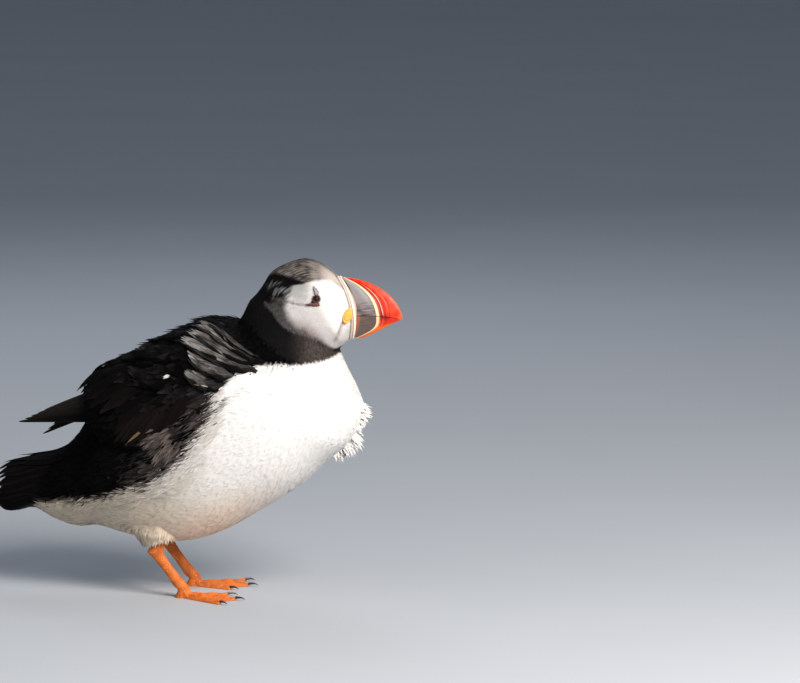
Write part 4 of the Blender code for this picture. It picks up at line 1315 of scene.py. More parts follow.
def make_rosettes():
    """Wrinkled skin at the corners of the gape: an egg with curved folds round its own middle."""
    turn = math.radians(ROSETTE_TURN_DEG)
    axes = upright_axes(np.array([math.sin(turn), -math.cos(turn), 0]))
    wide, out, high = ROSETTE_SIZE
    latitude, longitude = ball_grid(72, 64)
    from_pole, spread = np.cos(latitude), np.sin(latitude)
    corner = (np.abs(np.cos(longitude)) ** 1.4 + np.abs(np.sin(longitude)) ** 1.4) ** (-1 / 1.4)
    x, z = spread * corner * np.cos(longitude), spread * corner * np.sin(longitude)
    fold = 0.14 * np.cos(np.hypot(x, z * 1.1) * 15.0 + 0.6 * np.sin(3 * longitude)) * spread**0.5
    y = from_pole * out + fold * out * np.where(from_pole > -0.2, 1, 0)
    local = np.stack([x * wide + z * high * 0.36, y, z * high - x * wide * 0.2], axis=-1)
    reach = np.hypot(local[..., 0] / wide, local[..., 2] / high)
    tint = blend(ROSETTE_YELLOW, ROSETTE_ORANGE, 0.45 * (0.5 - 0.5 * np.cos(reach * 15.0)))
    for side, mirror in (("right", 1), ("left", -1)):
        rings = set_in(local, np.array(ROSETTE_AT) - axes[:, 1] * 0.6, axes, mirror)
        piece = shells(f"gape_fold_{side}", [(rings, tint)], sharp_deg=70)
        finish(piece, ROSETTE_SKIN, "gape_skin", f"gape_rosette_{side}")


# ---------------------------------------------------------------- legs and feet
def shank_middle(side, z):
    """Where the middle of the leg is at a height: x, leaning back to the hock and forward above it."""
    share = np.clip((z - ANKLE_Z) / (SHANK_TOP_Z - ANKLE_Z), -0.3, 1)
    above = np.clip((z - SHANK_TOP_Z) / (THIGH_TOP_Z - SHANK_TOP_Z), 0, 1)
    return ANKLE_X[side] + SHANK_LEAN * share + THIGH_LEAN * above


def leg_radii(z, bare=True):
    """Half sizes of the leg fore-and-aft and across: a shank with thicker joints, then the thigh."""
    share = np.clip((z - ANKLE_Z) / (SHANK_TOP_Z - ANKLE_Z), 0, 1)
    knuckle = 1 + 0.22 * np.abs(2 * share - 1) ** 3 - 0.06 * np.sin(HALF_TURN * share)
    above = np.clip((z - SHANK_TOP_Z) / (THIGH_TOP_Z - SHANK_TOP_Z), 0, 1)
    grown = THIGH_GROWTH * above ** (1.6 if bare else 0.6)
    return SHANK_FORE_AFT * knuckle + grown, SHANK_ACROSS * knuckle + 0.75 * grown


def leg_skin_rings(side, sign):
    """The leg from inside the foot up into the body: level rings round the leaning middle line."""
    z = np.concatenate([np.linspace(2.5, 30, 111), np.linspace(30.6, 60, 26)])
    turn = around(48)[None, :]
    fore, across = (r[:, None] for r in leg_radii(z))
    thin = np.where(z > SHANK_TOP_Z, np.minimum(1.6, 0.25 * (z - SHANK_TOP_Z)), 0)[:, None]
    low = smooth((8.5 - z) / 5)[:, None]
    scute = 0.10 * np.abs(np.sin(z * 1.35))[:, None] * smooth(np.cos(turn) + 0.3)
    folds = 0.16 * np.sin(z * 3.4)[:, None] * np.cos(turn) ** 2
    folds = folds * (bell(z, 9.5, 4) + bell(z, 26, 3.5))[:, None]
    fore, across = fore - thin - 1.7 * low + folds, across - thin - 0.3 * low
    x = shank_middle(side, z)[:, None] + (fore + scute) * np.cos(turn)
    y = sign * (LEG_SPREAD + (across + 0.4 * scute) * np.sin(turn))
    return np.stack([x, y, np.broadcast_to(z[:, None], x.shape)], axis=-1)


def foot_reach(angle):
    """How far the foot reaches at an angle inward from straight ahead: toes, notched webs, heel."""
    toes = sorted((TOE_ANGLE[name], TOE_LENGTH[name]) for name in TOE_ANGLE)
    reach = np.interp(angle, [a for a, _ in toes], [length for _, length in toes])
    for (a, _), (b, _) in zip(toes, toes[1:]):
        share = np.clip((angle - a) / (b - a), 0, 1)
        reach = reach * (1 - WEB_NOTCH * np.sin(HALF_TURN * share))
    outside = np.maximum(toes[0][0] - angle, angle - toes[-1][0])
    side = np.clip(outside / 9.0, 0, 1)
    edge = TOE_HALF_WIDTH / np.sin(np.radians(np.clip(outside, 2.0, 90.0)))
    return np.where(side > 0, np.clip(edge, HEEL_RADIUS, reach), reach)


def foot_height(angle, distance):
    """How thick the foot is: jointed toe ridges, thin webs between them, the joint under the shank."""
    height = 0.7 + 0 * distance
    for name, toe in TOE_ANGLE.items():
        aside = distance * np.sin(np.radians(np.clip(angle - toe, -90, 90)))
        along = np.clip(distance / TOE_LENGTH[name], 0, 1)
        joints = 1 + 0.10 * np.cos(along * FULL_TURN * 3.0)
        ahead = np.cos(np.radians(angle - toe)) > 0
        ridge = (TOE_HEIGHT * (1 - 0.35 * along) * joints - 0.75) * bell(aside, 0, 0.62 * TOE_HALF_WIDTH)
        height = np.maximum(height, 0.75 + np.where(ahead, ridge, 0))
    crinkle = 0.13 * np.sin(distance * 2.3 + 0.25 * angle) * smooth((height < 1.2) * 1.0)
    broad = blend(5.6 + 0 * angle, 3.9, smooth((np.abs(angle) - 70) / 60))
    joint = (ANKLE_Z + 0.9) * bell(distance, 0, broad)
    return np.minimum(np.maximum(height + crinkle, joint), ANKLE_Z + 0.4)


def foot_spot(side, sign, angle, distance):
    """(x, y) of a place on the foot."""
    turn = np.radians(angle - TOE_SPLAY)
    x = ANKLE_X[side] + distance * np.cos(turn)
    return x, sign * (LEG_SPREAD - distance * np.sin(turn))


def foot_rings(side, sign):
    """The foot as rings round the ankle: out over the top, down the rim, and back under the sole."""
    angle = np.concatenate([np.linspace(-36.5, 37.5, 149), np.linspace(42, 318, 38)])
    signed = (angle + 180) % 360 - 180
    reach = foot_reach(signed)[None, :]
    top = np.concatenate([np.linspace(0.02, 0.9, 42), [0.925, 0.945, 0.96, 0.973, 0.984, 0.993, 1.0]])
    top = top[:, None]
    bend = blend(1.3 + 0 * signed, 3.0, smooth((np.abs(signed) - 50) / 40))
    inward = 1 - np.clip(reach * (1 - top) / bend, 0, 1)
    rim = np.sqrt(1 - inward**2)
    height = 0.3 + (foot_height(signed[None, :], reach * top) - 0.3) * (0.1 + 0.9 * rim)
    x, y = foot_spot(side, sign, signed[None, :], reach * top)
    upper = np.stack([x, y, height], axis=-1)
    under = np.array([0.985, 0.6, 0.2, 0.02])[:, None]
    x, y = foot_spot(side, sign, signed[None, :], reach * under)
    return np.concatenate([upper, np.stack([x, y, 0 * x], axis=-1)])


def leg_tints(points, foot):
    """Orange leg skin, deeper in uneven patches, a plainer orange on the webs, and pale where it meets the
    plumage.
    """
    uneven = ripple(points, 7, 61)
    colour = blend(LEG_ORANGE, LEG_DEEP, np.clip(0.22 + 0.3 * uneven, 0, 1))
    if foot:
        web = smooth((1.6 - points[..., 2]) / 0.7)
        return blend(colour, (0.74, 0.19, 0.03), 0.6 * web)
    feathered = smooth((points[..., 2] - 37.5) / 2.5)
    return blend(colour, PEACH_WHITE, feathered)


def claw_rings(side, sign, toe):
    """A hooked claw: rings that narrow along a bow from level at the toe to just over the ground."""
    share = np.linspace(0, 0.97, 22)
    start = TOE_LENGTH[toe] - 0.6
    x, y = foot_spot(side, sign, TOE_ANGLE[toe], start + (CLAW_LENGTH + 0.9) * np.sin(share * 1.2))
    z = CLAW_RISE + 0.5 * np.sin(share * 3) - 1.1 * share**2
    radius = 0.92 * CLAW_RADIUS * (1 - 0.86 * share**0.9)
    ahead = np.array(foot_spot(side, sign, TOE_ANGLE[toe], 1.0)) - foot_spot(side, sign, 0.0, 0.0)
    across = np.array([-ahead[1], ahead[0], 0]) / np.linalg.norm(ahead)
    turn = around(16)
    flat = np.where(np.cos(turn) < -0.2, 0.75, 1.0)
    ring = across * np.sin(turn)[:, None] * 0.85 + np.array([0, 0, 1.0]) * (np.cos(turn) * flat)[:, None]
    path = np.stack([x, y, z], axis=-1)
    return path[:, None] + ring[None] * radius[:, None, None]


def make_legs():
    """Legs, webbed feet and claws of both sides."""
    for side, sign in SIDES:
        leg, foot = leg_skin_rings(side, sign), foot_rings(side, sign)
        parts = [(leg, leg_tints(leg, False)), (foot, leg_tints(foot, True))]
        piece = shells(f"leg_skin_{side}", parts, sharp_deg=60)
        finish(piece, LEG_SKIN, "leg_skin", f"leg_{side}", f"foot_{side}")
        claws = []
        for toe in TOE_ANGLE:
            rings = claw_rings(side, sign, toe)
            fade = np.linspace(0, 1, rings.shape[0])[:, None] * np.ones((1, rings.shape[1]))
            claws.append((rings, blend((0.030, 0.022, 0.018), (0.008, 0.007, 0.007), fade)))
        piece = shells(f"claws_{side}", claws)
        finish(piece, CLAW_HORN, "claw_horn", *(f"claw_{toe}_{side}" for toe in TOE_ANGLE))


# ---------------------------------------------------------------- skin and plumage
def coat_depth(t):
    """How far the skin lies inside the coat's level, in mm."""
    stops = (0, 1.5, 3, 5, 11, 13, 18.5, 22, 24.5, 25)
    return np.interp(t, stops, (2.6, 1.9, 1.0, 1.1, 1.0, 0.8, 0.75, 0.6, 0.5, 0.45))


def make_skin():
    """One closed skin from the tail tip to the bill's root, inside the coat by its depth."""
    stations = np.concatenate([np.linspace(0.0, 16.5, 140), np.linspace(16.6, 24.98, 150)])
    t, angle = np.meshgrid(stations, around(176), indexing="ij")
    points = read(COAT, t, angle) - read(FORM_NORMAL, t, angle) * coat_depth(t)[..., None]
    tints = markings(t, angle, points) * 0.8
    piece = shells("skin", [(points, tints)])
    nodes = ("head", "neck", "trunk", "tail", "wing_right", "wing_left")
    finish(piece, UNDER_SKIN, "feathers_white", *nodes)


def make_coat():
    """All body feathers: fine on the head and neck, broader on the body, broadest on back and wings."""
    length, width = coat_size(GRID_T, GRID_A)
    need = eye_clear(COAT) * clear_of(COAT, ROSETTE_SPOTS) / (length * width * 0.62)
    deg = degrees_from_ridge(GRID_A)
    fine = smooth((GRID_T - 15.0) / 0.5)
    body = (1 - fine) * smooth((GRID_T - 0.1 - 1.5 * smooth((112 - deg) / 12)) / 0.5)
    black = smooth((black_edge(GRID_T) + 3 - deg) / 4)
    cell = FACE_END / T_STEPS * FULL_TURN / A_STEPS

    def head(t, angle):
        right = angle < HALF_TURN
        return ("head_right", (t > 17.6) & right), ("head_left", (t > 17.6) & ~right), ("neck", t <= 17.6)

    def under(t, _):
        return ("breast", t > 11.3), ("belly", (t <= 11.3) & (t > 7.3)), ("vent", t <= 7.3)

    def back(_, angle):
        return ("back_right", angle < HALF_TURN), ("back_left", angle >= HALF_TURN)

    for seed, share, coverage, divided, sizes, finished in (
        (1, fine, 7.5, head, (3, 3, HEAD_LOOK), (FACE_PLUMAGE, "feathers_face")),
        (2, (1 - black) * body, 9.0, under, (4, 3, WHITE_LOOK), (WHITE_PLUMAGE, "feathers_white")),
        (3, black * body, 5.5, back, (5, 7, BLACK_LOOK), (BLACK_PLUMAGE, "feathers_black")),
    ):
        count = int(np.sum(CELL_AREA * need * share) * cell * coverage)
        t, angle = scatter(count, need * share, seed)
        for k, (name, chosen) in enumerate(divided(t, angle)):
            piece = coat(f"plumage_{name}", t[chosen], angle[chosen], 10 * seed + k + 1, *sizes)
            finish(piece, *finished)


# ---------------------------------------------------------------- scapulars and loose strands
# Bands of scapulars: (station, degrees) in front and behind, half width in degrees, strands, and light: the
# strength of the band's painted sheen.
BANDS = (
    (13.1, 63, 10.5, 13, 5.5, 60, 0.45),
    (13.12, 68, 10.35, 20, 4.5, 60, 0.95),
    (12.5, 67, 10.25, 30, 4.0, 54, 0.8),
    (12.35, 71, 9.95, 36, 4.8, 58, 1.3),
    (11.25, 70, 10.1, 49, 4.2, 46, 1.0),
    (10.85, 73.5, 9.9, 58.5, 3.8, 42, 0.6),
    (9.9, 26, 8.6, 6, 8.0, 40, 0.08),
    (9.5, 43, 8.1, 22, 7.5, 40, 0.07),
    (9.2, 58, 7.9, 40, 6.5, 36, 0.05),
)


def make_scapulars():
    """Sheets of scapulars that sweep from the wing's front edge up and back over the shoulder.

    Each band is made of long strands side by side, all along the band's own line; their grey is a
    painted sheen. Its lower edge stands over the next band and is dark with painted shade; its
    strands end at the back in frayed tips with a painted highlight.
    """
    for side, sign in SIDES:
        rng = np.random.default_rng(111 if sign < 0 else 112)
        lines, tints = [], []
        rows, columns = 9, 7
        v = np.linspace(0, 1, rows)
        for t0, deg0, t1, deg1, half, count, light in BANDS:
            first, across = even_pairs(count)
            across = 2 * across - 1
            reach = rng.uniform(0.38, 0.5, count)
            start = -0.12 + (1.18 - reach) * first
            along = start[:, None] + reach[:, None] * v
            narrow = smooth(along / 0.25 + 0.25) * half * (1 - 0.4 * smooth((along - 0.55) / 0.45))
            t = t0 + (t1 - t0) * along + 0.05 * rng.normal(size=(count, 1))
            bow = 3.5 * np.sin(HALF_TURN * np.clip(along, 0, 1))
            deg = deg0 + (deg1 - deg0) * along + narrow * across[:, None] + bow
            ruffled = 0.2 + 1.6 * rng.random((count, 1)) ** 3
            over = 0.7 + 0.55 * (across[:, None] + 1)
            lines.append((t, np.clip(deg, 2, 80), over - 1.8 * (1 - v) ** 2.5 + ruffled * v**2.5))
            streak = rng.uniform(0.3, 1.35, (count, 1, 1)) * (1 + 0.35 * rng.normal(size=(count, 1, columns)))
            # the band's lower edge darkened: painted shade cast on the next band
            low = 1 - 0.93 * smooth((across[:, None, None] - 0.45) / 0.3)
            spots = 1 + 0.5 * ripple(np.stack([t * 8, deg * 0.7, 0 * t], axis=-1), 7, 113)
            # the band's grey: painted sheen
            grey = light * streak * low * (spots * (0.3 + 0.85 * np.clip(along, 0, 1)))[..., None]
            colour = blend(np.tile(BLACK, (count, rows, columns, 1)), SHEEN, np.clip(grey, 0, 1.6))
            # bright frayed tips: painted highlight
            pale = smooth((along - 0.70) / 0.3)[..., None] * smooth((v - 0.5) / 0.5)[:, None]
            pale = pale * np.clip(streak - 0.55, 0, 1) * min(1.0, 1.1 * light) * low
            tints.append(blend(colour, SHEEN_TIP, np.clip(pale, 0, 1)))
        t, deg, height = (np.concatenate(group) for group in zip(*lines))
        angle = side_angle(deg, sign)
        up = unit(read(LIE_NORMAL, t, angle))
        centre, place = coat_point(t, angle) + up * height[..., None], skin_place(t[:, 0], angle[:, 0])
        width = rng.uniform(2.2, 3.6, len(t))
        laid = centre, up, width, 0.05, ragged_cut(rng, len(t), columns, 0.12, 0.16)
        tints = np.concatenate(tints)
        piece = loose_vanes(f"scapulars_{side}", *laid, tints, place, 0.15, root=0.6, tip=0.28)
        finish(piece, BLACK_PLUMAGE, "feathers_black")


def make_strands():
    """Loose strands along the flank, where the black and the white run into each other.

    Each strand keeps one colour to its tip: white ones run out over the black, and brown-grey ones
    over the black under the wing. The right side has a white fleck on the wing, and both have the
    buff edge of one secondary and one scapular.
    """
    for side, sign in SIDES:
        rng = np.random.default_rng(121 if sign < 0 else 122)
        count, rows, columns = 2600, 6, 3
        first, second = even_pairs(count)
        t = 4.4 + 6.7 * first
        off = 13 * second - 5.5 + 1.5 * rng.normal(size=count)
        off = np.where(t > 7.2, np.where((t < 10.4) & (off < 0), 3.4 * off, off), 0.6 * off + 2)
        deg = black_edge(t) + off
        turn = 0.16 * rng.normal(size=count) + 0.12
        length = rng.uniform(7.5, 12.5, count)
        width = rng.uniform(0.8, 1.6, count)
        white = smooth((off + 2.5 + 2.2 * rng.normal(size=count)) / 6)
        # warmer and darker lower down, like the belly: painted warm shade
        cream = blend(WHITE, CREAM_WHITE, 0.3 + 0.7 * smooth((9.5 - t) / 3))
        cream = cream * rng.uniform(0.8, 1.0, (count, 1))
        near = np.clip(bell(t, 9.0, 1.5, 4) * (0.95 + 0.045 * off), 0, 2)
        brown = np.array((0.165, 0.138, 0.130)) * rng.uniform(0.3, 1.1, (count, 1)) ** 1.5
        brown = brown * near[:, None] + BLACK
        tint = blend(brown, cream, white)
        fleck = [(9.34, 57.2, 0.30, 3.4, 1.1)] * 6 if sign < 0 else []
        lone = np.array(fleck + [(8.12, 78, 0.34, 17, 1.8), (10.7, 74.5, -0.5, 13, 1.3)])
        q, chance = rng.random(170), rng.random((3, 170))
        tuft = (9.0 - 0.7 * chance[0], 83.5 + 8 * q, 0.05 + 0.6 * q, 7 + 5 * chance[1], 1.0 + 0.6 * chance[2])
        spots = np.concatenate([lone, np.stack(tuft, axis=-1)])
        shades = [(0.8, 0.78, 0.74)] * len(fleck) + [(0.13, 0.090, 0.040), (0.36, 0.30, 0.26)]
        tuft_shades = np.array((0.155, 0.122, 0.108)) * rng.uniform(0.3, 1.5, (170, 1))
        stray = np.where(np.arange(len(spots)) < len(lone), 0.3, 1.2)
        t = np.concatenate([t, spots[:, 0] + 0.04 * stray * rng.normal(size=len(spots))])
        deg = np.concatenate([deg, spots[:, 1] + stray * rng.normal(size=len(spots))])
        turn = np.concatenate([turn, spots[:, 2]])
        length, width = np.concatenate([length, spots[:, 3]]), np.concatenate([width, spots[:, 4]])
        tint = np.concatenate([tint, shades, tuft_shades])
        proud = np.concatenate([np.zeros(count), np.full(len(lone), 1.6), 0.3 + 0.6 * chance[2]])
        count = len(t)
        rise = 0.25 + 0.75 * rng.random(count) ** 2 + proud

        def height(v):
            return -0.7 * (1 - v) ** 1.5 + rise * v**1.2 + proud * (v > 0)

        angle = side_angle(deg, sign)
        centre, up, _ = lay(t, angle, length, rows - 1, turn, height)
        laid = centre, up, width, 0.07, ragged_cut(rng, count, columns, 0.2, 0.2)
        dark = np.where((tint.mean(axis=1) < 0.3) & (proud < 1.5), 0.75, 0.0)[:, None, None, None]
        root = (1 - np.linspace(0, 1, rows)[:, None, None]) ** 1.2
        tints = tint[:, None, None] * (1 - dark * root) * np.ones((columns, 1))
        shape = {"root": 0.7, "tip": 0.2, "widest": 0.4}
        piece = loose_vanes(f"flank_strands_{side}", *laid, tints, skin_place(t, angle), 0.1, **shape)
        finish(piece, WHITE_PLUMAGE, "feathers_white")


# ---------------------------------------------------------------- long feathers
def quill_set(name, centre, up, width, seed, tint, place, tip=0.3, fray=0.03, arch=0.07, widest=0.55):
    """Long feathers along given centre lines, widest at a share of their length, with worn rims."""
    rng = np.random.default_rng(seed)
    count, rows = centre.shape[:2]
    v, x = np.linspace(0, 1, rows)[:, None], np.linspace(-1, 1, 9)
    laid = centre, up, width, arch, ragged_cut(rng, count, len(x), 0.06, fray)
    rim = np.clip(np.abs(x) ** 4 * 0.2 + v**5 * 0.35, 0, 1) * rng.uniform(0.2, 0.8, count)[:, None, None]
    tints = painted(
        tint[:, None, None] * np.ones((*rim.shape[1:], 1)),
        ((0.035, 0.031, 0.028), rim),
        (BROWN_BLACK, 0.5 * bell(x, 0, 0.13) + 0 * rim),
    )
    return loose_vanes(name, *laid, tints, place, root=0.55, tip=tip, widest=widest)


def tail_centres(sign):
    """Centre lines of one side's tail feathers, fanned over the roof of the tail."""
    deg = np.array([4, 17, 31, 46, 63, 81, 99, 118])
    count = len(deg)
    t = np.linspace(3.2, 2.6, count)
    angle = np.radians(deg if sign > 0 else 360 - deg)
    length = np.array([44, 41.5, 43.5, 39.5, 42, 38, 41, 39.5])
    over = np.linspace(0.9, 0.3, count)
    lift = np.array([4.4, 4.2, 3.6, 2.6, 1.5, 0.5, -0.4, -1.1])

    def height(v):
        return over + 0.4 - 1.5 * (1 - v) ** 3 + lift * v**2.5

    centre, up, _ = lay(t, angle, length, 14, np.full(count, 0.02), height)
    return centre, up, t, angle


def make_tail():
    """Eight pairs of tail feathers, the middle pair on top, and narrow coverts over their roots."""
    right, left = tail_centres(1), tail_centres(-1)
    deg = np.array([-34.0, -20, -8, 3, 14, 27, 40])
    angle = np.radians(deg % 360)
    t = np.array([3.6, 3.9, 3.7, 4.0, 3.8, 3.9, 3.6])

    def height(v):
        return 0.8 - 1.6 * (1 - v) ** 3 + np.array([2.5, 3.0, 4.0, 5.0, 6.2, 4.0, 3.0]) * v**3

    covert = (*lay(t, angle, np.array([30, 34, 41, 40, 47, 36, 31.0]), 14, 0 * t, height)[:2], t, angle)
    centre, up, t, angle = (np.concatenate(group) for group in zip(right, left, covert))
    tint = np.tile(blend(BLACK, BROWN_BLACK, 0.3), (len(t), 1))
    width = np.concatenate([np.full(len(right[2]) * 2, 9.5), np.full(len(deg), 6.5)])
    piece = quill_set("tail_feathers", centre, up, width, 71, tint, skin_place(t, angle), 0.18, 0.08)
    finish(piece, BLACK_PLUMAGE, "feathers_black")


def path_through(first, middle, last, rows):
    """Curves through three points each: the quadratic that passes the middle one half way."""
    v = np.linspace(0, 1, rows)[None, :, None]
    first, middle, last = (p[:, None] for p in (first, middle, last))
    corner = 2 * middle - (first + last) / 2
    return first * (1 - v) ** 2 + corner * 2 * v * (1 - v) + last * v**2


def wing_point(t, deg, lift, sign):
    """A point over the folded wing of one side, so far above the coat's level, and its normal."""
    angle = side_angle(deg, sign)
    normal = read(COAT_NORMAL, t, angle)
    return coat_point(t, angle) + normal * np.asarray(lift)[..., None], normal


def wing_row(sign, count, root, tip, lifts, bow):
    """One row of wing feathers; root and tip are ((station, degrees) at the first, at the last)."""
    s = np.linspace(0, 1, count)[:, None]
    (rt, rd), (tt, td) = ((np.array(a) + (np.array(b) - a) * s).T for a, b in (root, tip))
    first, up0 = wing_point(rt, rd, np.full(count, lifts[0]), sign)
    middle, up1 = wing_point((rt + tt) / 2, (rd + td) / 2 + bow, np.full(count, lifts[1]), sign)
    lift = lifts[2] * (0.65 + 0.7 * (np.arange(count) % 2))
    last, up2 = wing_point(np.maximum(tt, 6.0), td, lift, sign)
    last = last - unit(last - first) * np.minimum(tt - 6.0, 0)[:, None] * 14.0
    rows = 13
    v = np.linspace(0, 1, rows)[None, :, None]
    up = up0[:, None] * (1 - v) ** 2 + 2 * up1[:, None] * v * (1 - v) + up2[:, None] * v**2
    return path_through(first, middle, last, rows), up, rt, side_angle(rd, sign)


# Rows of wing feathers: count, roots, tips, lifts in mm at root, middle and tip, bow, width, brown.
QUILL_ROWS = (
    (9, ((10.4, 66), (8.4, 64)), ((8.3, 88), (6.2, 74)), (-1.5, 0.3, 0.6), 1, 7.5, 0.85),
    (6, ((9.0, 58), (8.0, 36)), ((6.9, 66), (5.9, 28)), (-1.5, 0.6, 1.0), 0, 8.5, 0.35),
    (4, ((8.4, 48), (7.9, 30)), ((6.3, 50), (5.75, 24)), (-1.0, 1.2, 1.8), 0, 9.0, 0.2),
    (5, ((9.3, 13), (7.4, 20)), ((8.1, 8), (6.1, 17)), (-1.0, 1.0, 3.6), 0, 5.0, 0.1),
    (4, ((8.6, 17), (7.1, 24)), ((7.3, 12), (5.95, 21)), (-1.0, 1.5, 2.6), 0, 4.0, 0.1),
)


def make_wing_quills():
    """Secondaries, tertials and the blade of primaries of each folded wing."""
    for side, sign in SIDES:
        rows = [wing_row(sign, *row[:-2]) for row in QUILL_ROWS]
        centre, up, t, angle = (np.concatenate(group) for group in zip(*rows))
        counts = [row[0] for row in QUILL_ROWS]
        width, brown = (np.repeat([row[k] for row in QUILL_ROWS], counts) for k in (5, 6))
        rng = np.random.default_rng(81 if sign < 0 else 82)
        brown = np.clip(brown * rng.uniform(0.3, 1.1, len(brown)), 0, 1)
        tint = blend(np.tile(BLACK, (len(t), 1)), (0.017, 0.012, 0.010), 0.6 * brown)
        place = skin_place(t, angle)
        piece = quill_set(f"wing_quills_{side}", centre, up, width, 83, tint, place, 0.36, 0.09)
        finish(piece, BLACK_PLUMAGE, "feathers_black")
        make_primaries(side, sign)


def make_primaries(side, sign):
    """The blade of long primaries: five stacked feathers whose tips step back along the upper edge."""
    mirror = np.array([1, sign, 1])
    top, bottom = np.array(PRIMARY_ROOT_TOP) * mirror, np.array(PRIMARY_ROOT_BOTTOM) * mirror
    end = np.array(PRIMARY_TIP[side]) * mirror
    count = 5
    k = np.linspace(0, 1, count)[:, None]
    root = bottom + (top - bottom) * (0.18 + 0.62 * k)
    tip = end + (top - end) * (0.42 * k) - (top - bottom) * 0.03
    out = unit(np.cross(top - bottom, end - top)) * sign
    out = out if (out * mirror)[1] > 0 else -out
    root = root - unit(tip - root) * 16 + out * (0.5 - 1.3 * k)
    tip = tip + out * (0.4 - 1.0 * k)
    middle = (root + tip) / 2 + out * 0.9
    centre = path_through(root, middle, tip, 17)
    up = np.broadcast_to(out, centre.shape)
    # lighter towards the upper feathers: painted sheen
    tint = blend(np.tile(BROWN_BLACK, (count, 1)), (0.020, 0.016, 0.016), k[:, 0] ** 0.7)
    width = np.full(count, 7.6)
    place = np.stack([np.linspace(0.1, 0.9, count), np.full(count, 0.5)], axis=-1)
    label = f"flight_feathers_{side}"
    piece = quill_set(label, centre, up, width, 91, tint, place, 0.2, 0.0, 0.05, widest=0.0)
    finish(piece, BLACK_PLUMAGE, "feathers_black", f"primaries_{side}")


def make_thigh_tufts():
    """White tufts over the feathered thighs, pointing down to a cuff that hangs lower at the back."""
    for side, sign in SIDES:
        rng = np.random.default_rng(95 if sign < 0 else 96)
        count = 2600
        first, second = even_pairs(count)
        turn = FULL_TURN * second
        z = 39 + 2.5 * np.cos(turn) + 22 * first**1.1

        def cone(z, turn):
            fore, across = leg_radii(z, bare=False)
            ahead = smooth(np.cos(turn) * 1.3 + 0.2)
            fore = fore * (1 - 0.42 * ahead * smooth((z - 34) / 10))
            across = across * (1 - 0.25 * ahead) - 0.34 * np.clip(z - 43, 0, 30)
            x = shank_middle(side, z) + fore * np.cos(turn)
            x = x - (0.75 * np.clip(z - 31, 0, 15) - 1.1 * np.clip(z - 46, 0, 20)) * smooth(-np.cos(turn))
            return np.stack([x, sign * (LEG_SPREAD + across * np.sin(turn)), z], axis=-1)

        here, below = cone(z, turn), cone(z - 1, turn)
        lie = smooth((z - 42) / 16)[:, None] * (-1.1, 0, 0.25)
        way = unit(below - here + lie + rng.normal(size=(count, 3)) * 0.06)
        middle = np.stack([shank_middle(side, z), 0 * z + sign * LEG_SPREAD, z], axis=-1)
        out = unit(np.cross(cone(z, turn + 0.05) - here, below - here))
        out = out * np.sign(dot(out, here - middle))
        length = rng.uniform(6.0, 8.5, count)
        rows = 5
        v = np.linspace(0, 1, rows)[None, :, None]
        lift = 0.2 - 1.2 * (1 - v) ** 1.2 + 0.3 * rng.random((count, 1, 1)) ** 3 * v**2
        centre = here[:, None] + way[:, None] * length[:, None, None] * v + out[:, None] * lift
        under = smooth((z - 43) / 12)[:, None] * (0, 0, -0.75)  # shaded like the belly over them
        up = np.broadcast_to(unit(out + under)[:, None], centre.shape)
        width = rng.uniform(1.6, 2.4, count)
        laid = centre, up, width, 0.05, ragged_cut(rng, count, 3, 0.25, 0.1)
        # cream darkened to a warm grey like the belly over it, and darker at the back of the thigh: painted
        # warm shade
        base = blend(np.tile(WHITE, (count, 1)), CREAM_WHITE, 0.5 + 0.5 * rng.random(count))
        behind = 0.72 + 0.28 * smooth((np.cos(turn) + 0.9) / 0.8)
        base = blend(base, (0.60, 0.48, 0.36), 0.7) * behind[:, None]
        tints = base[:, None, None] * np.ones((count, rows, 3, 1))
        place = np.stack([turn / FULL_TURN, (z - 38) / 31], axis=-1) * 0.98 + 0.01
        piece = loose_vanes(f"thigh_tufts_{side}", *laid, tints, place, 0.1, tip=0.3)
        finish(piece, WHITE_PLUMAGE, "feathers_white")


